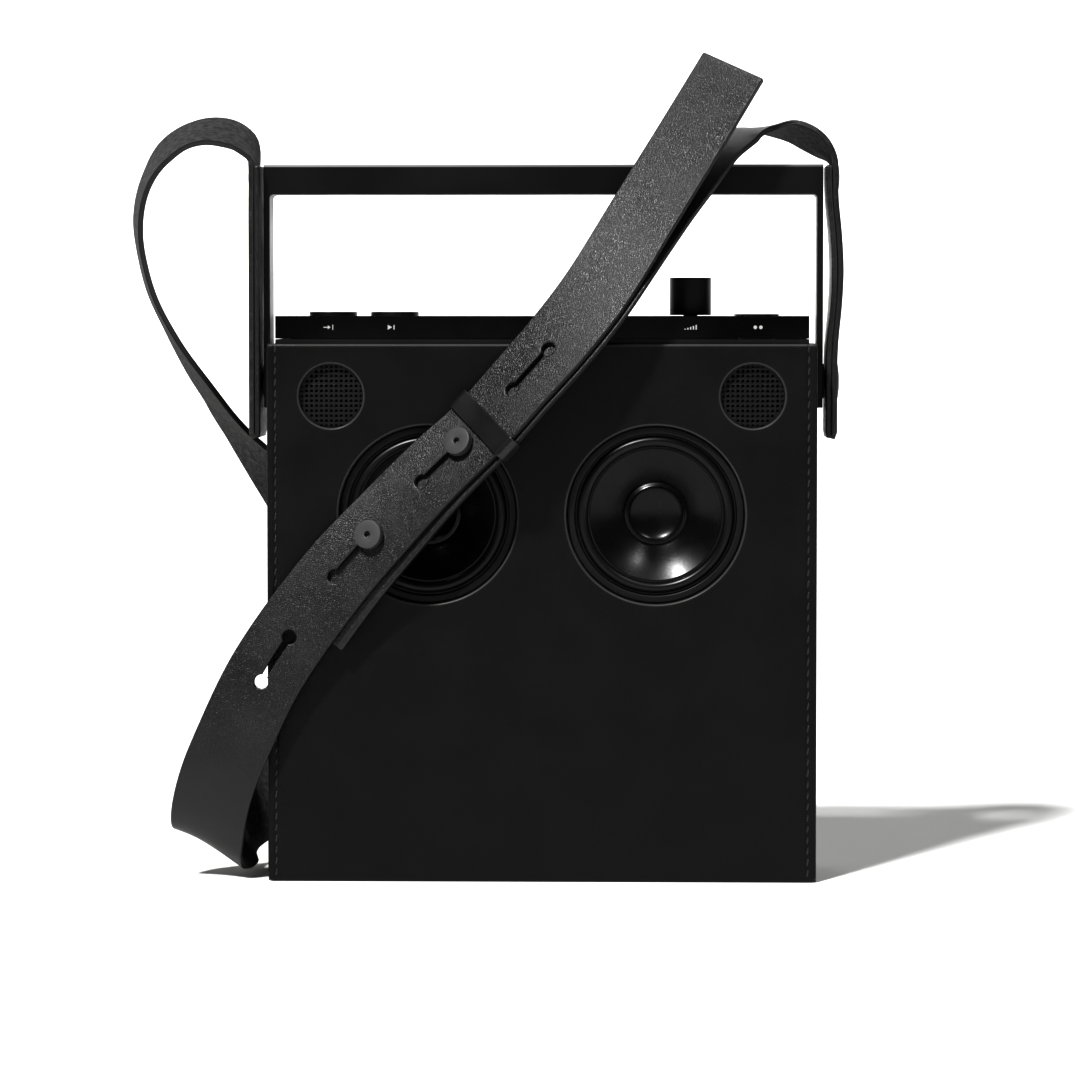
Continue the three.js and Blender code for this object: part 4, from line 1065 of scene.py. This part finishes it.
settle(long_strap, "long_shoulder_strap", strap_leather, "strap_leather", "long_strap")

# The short strap lies behind the long one, then turns over the handle to the right pivot.
UNDER_BY = 2.8
ASIDE = 1.5
SWING = 1.05
SHORT_FROM, SWING_FROM, SHORT_TO = 1.5, 5, 8.1
short_steps = []
for _, at, along, across, normal, place in long_frames:
    if SHORT_FROM < place - run_place < SHORT_TO:
        below = max(0.0, run_place + SWING_FROM - place)
        shifted = at + normal * UNDER_BY + across * (ASIDE + SWING * below)
        short_steps.append((shifted, across, 0.0))
OVER_HANDLE = [
    (tuple(short_steps[-2][0]), tuple(short_steps[-2][1])),
    (tuple(short_steps[-1][0]), tuple(short_steps[-1][1])),
    ((48.8, -32, 288.5), (0.71, -0.56, -0.43)),
    ((61, -26.5, 303.5), (0.64, -0.66, -0.38)),
    ((73, -15.5, 316.8), (0.5, -0.82, -0.27)),
    ((85.5, -5.5, 324.3), (0.28, -0.94, -0.18)),
    ((96.5, -2, 327), (0.05, -1, -0.02)),
    ((106.5, 0, 326.8), (0.05, -0.98, 0.17)),
    ((115, 0, 323.6), (0.14, -0.97, 0.2)),
    ((121.8, 0, 318.8), (0.14, -0.98, 0.12)),
    ((126.6, 0, 313.4), (0.02, -1, 0.01)),
    *[upright(SINGLE_X + bow, z) for bow, z in (
        (0.1, 306), (0.4, 296), (1.9, 280), (2.6, 265), (1.9, 250), (0.4, 234), (0, 222), (0, 207),
        (0, FOLD_LOW),
    )],
]
over_steps = [step for step in drawn_path(OVER_HANDLE) if step[2] >= 1]
short_steps = short_steps[:-1] + over_steps[:-1]
short_steps += turn_below(SINGLE_X, INNER_PLY)
short_steps += drawn_path([upright(INNER_PLY + bow, z) for bow, z in (
    (0, 207), (0, 222), (0.4, 234), (1.9, 250), (2.5, 265), (1.9, 280), (0.4, 296), (0, 306),
    (0, FOLD_HIGH),
)], 8)
short_strap = lay_strap("short_shoulder_strap", framed(short_steps), [])
settle(short_strap, "short_shoulder_strap", strap_leather, "strap_leather", "short_strap")


# Studs: matt black buttons riveted to the short strap, each pushed through a slot of the long one.
def set_in(thing, at, along, across, normal):
    """Moves a body made with its axis along Y into a frame on the strap, in millimetres."""
    for corner in thing.data.vertices:
        x, y, z = corner.co
        corner.co = Vector(at) * MM + Vector(across) * x + Vector(normal) * y + Vector(along) * z
    thing.data.update()
    return thing


STUD_FRAMES = {
    "upper": ((-33.82, -48.20, 190.70), (0.7315, -0.0939, 0.6754), (0.531, -0.543, -0.6506),
              (0.4278, 0.8345, -0.3474)),
    "lower": ((-72.95, -42.80, 151.04), (0.6829, -0.09, 0.7249), (0.6596, -0.3506, -0.6649),
              (0.314, 0.9322, -0.18)),
}
stud_metal = worn_material(
    "matt_grey_stud", (0.06, 0.06, 0.06), (0.078, 0.078, 0.078), 0.45, 0.55, 1500.0, 0.00001, 0.3
)
for name, placed in STUD_FRAMES.items():
    stud_profile = [(0.0, -0.0032), (0.0013, -0.0032), (0.0013, -0.0054), (0.0062, -0.0054),
                    (0.0062, -0.002), (0.0019, -0.002), (0.0019, 0.0043), (0.0042, 0.0043),
                    (0.0042, 0.0049), (0.0, 0.0049)]
    stud = turned("stud", soften(stud_profile, 0.0004), (0, 0, 0))
    set_in(stud, *placed)
    cleaned(stud, 0.0000001)
    settle(stud, "stud_" + name, stud_metal, "black_metal", "strap_stud_" + name)

# The keeper: a narrow band of thin leather sewn into a loop, which slides along both straps.
KEEPER_AT = ((-24.63, -49.20, 199.56), (0.678, -0.0454, 0.7337), (0.5841, -0.5727, -0.5752),
             (0.4463, 0.8185, -0.3618))
KEEPER_LEFT, KEEPER_RIGHT = -18.2, 19.7
KEEPER_FRONT, KEEPER_BACK = -2.55, 5.25
keeper_ring = rounded_oblong(KEEPER_LEFT, KEEPER_RIGHT, KEEPER_FRONT, KEEPER_BACK, 2.6, 10)
work = bmesh.new()
section = rounded_oblong(-0.7, 0.7, -4.95, 4.95, 0.4, 4)
rings = []
for i, (x, y) in enumerate(keeper_ring):
    here = Vector((x, y))
    ahead = Vector(keeper_ring[(i + 1) % len(keeper_ring)])
    behind = Vector(keeper_ring[i - 1])
    forward = (ahead - behind).normalized()
    outward = Vector((forward.y, -forward.x))
    rings.append([
        work.verts.new(((here.x + outward.x * a) * MM, (here.y + outward.y * a) * MM, b * MM))
        for a, b in section
    ])
for one, two in zip(rings, rings[1:] + rings[:1]):
    for i in range(len(section)):
        j = (i + 1) % len(section)
        work.faces.new((one[i], one[j], two[j], two[i]))
keeper_mesh = bpy.data.meshes.new("keeper")
work.to_mesh(keeper_mesh)
work.free()
band_leather = worn_material(
    "thin_polished_band", (0.006, 0.006, 0.006), (0.014, 0.014, 0.0138),
    0.24, 0.36, 1300.0, 0.00005, 0.0, 0.6,
)
keeper = linked("keeper", keeper_mesh)
set_in(keeper, *KEEPER_AT)
cleaned(keeper, 0.0000001)
weight_normals(keeper)
settle(keeper, "keeper_loop", band_leather, "strap_leather", "strap_keeper", body="keeper")

# Rivets: domed black caps that hold each folded end together beside the handle's bar.
RIVET_AT = (0.0, 0.0, 0.306)
RIVET, RIVET_SHANK, RIVET_DOME = 0.0059, 0.0016, 0.0008
RIVET_INSIDE, RIVET_OUTSIDE = 0.1234, 0.1286
for side, mirror in (("left", -1), ("right", 1)):
    rivet = [(0.0, RIVET_INSIDE), (RIVET_SHANK, RIVET_INSIDE), (RIVET_SHANK, RIVET_OUTSIDE),
             (RIVET, RIVET_OUTSIDE)]
    for i in range(9):
        angle = math.pi / 2 * i / 8
        rivet.append((RIVET * math.cos(angle) if i < 8 else 0.0,
                      RIVET_OUTSIDE + 0.0001 + RIVET_DOME * math.sin(angle)))
    rivet = turned("rivet", [(radius, mirror * along) for radius, along in rivet], RIVET_AT, "x", 64)
    settle(rivet, "rivet_" + side, basket_steel, "black_metal", "strap_rivet_" + side)

# ---------- floor, light and camera ----------
# A white paper sweep, a hard key light from the front left, a fainter one from the front right,
# and a sky that is dark in front and bright above and behind.
DARK_ROOM = 0.05
BRIGHT_WALL = 2.1
paper_material, _, _ = new_material("white_paper", (0.86, 0.86, 0.855), 0.9, 0.0, 0.0)
sweep = [(-9.0, 0.0), (5.0, 0.0)]
for i in range(1, 17):
    angle = math.pi / 2 * i / 16
    sweep.append((5.0 + 2.0 * math.sin(angle), 2.0 - 2.0 * math.cos(angle)))
sweep.append((7.0, 8.0))
paper_points = [(x, y, z) for x in (-9.0, 9.0) for y, z in sweep]
paper_faces = [(i, len(sweep) + i, len(sweep) + i + 1, i + 1) for i in range(len(sweep) - 1)]
paper_mesh = bpy.data.meshes.new("paper_sweep")
paper_mesh.from_pydata(paper_points, [], paper_faces)
paper_mesh.materials.append(paper_material)
paper = linked("paper_sweep", paper_mesh)
paper_mesh.shade_smooth()

world = bpy.data.worlds.new("pale_sky")
world.use_nodes = True
sky = world.node_tree
heading = node_in(sky, "ShaderNodeTexCoord").outputs["Generated"]
heading = node_in(sky, "ShaderNodeSeparateXYZ", {0: heading})
above_and_behind = math_in(sky, "ADD", heading.outputs["Y"], heading.outputs["Z"])
sky_light = range_in(sky, above_and_behind, -0.4, 1.1, DARK_ROOM, BRIGHT_WALL)
sky.links.new(sky_light, sky.nodes["Background"].inputs["Strength"])
bpy.context.scene.world = world


def sun_light(name, energy, spread, heading):
    """A distant light that spreads over an angle in degrees and shines along heading."""
    light = linked(name, bpy.data.lights.new(name, "SUN"))
    light.data.energy = energy
    light.data.angle = math.radians(spread)
    light.rotation_euler = Vector(heading).to_track_quat("-Z", "Y").to_euler()


sun_light("key_light", 5.4, 5.0, (102, 200, -245))
sun_light("fill_light", 0.9, 11.0, (-36, 43, -83))

camera = linked("camera", bpy.data.cameras.new("camera"))
camera.data.sensor_width = 36.0
camera.data.lens = 146.6
camera.data.clip_end = 100.0
camera.location = (0.0497, -1.9318, 0.25)
looking = Vector((-0.0007, -0.0325, 0.1488)) - camera.location
camera.rotation_euler = looking.to_track_quat("-Z", "Y").to_euler()
bpy.context.scene.camera = camera
bpy.context.scene.view_settings.view_transform = "Standard"
bpy.context.scene.view_settings.gamma = 0.72
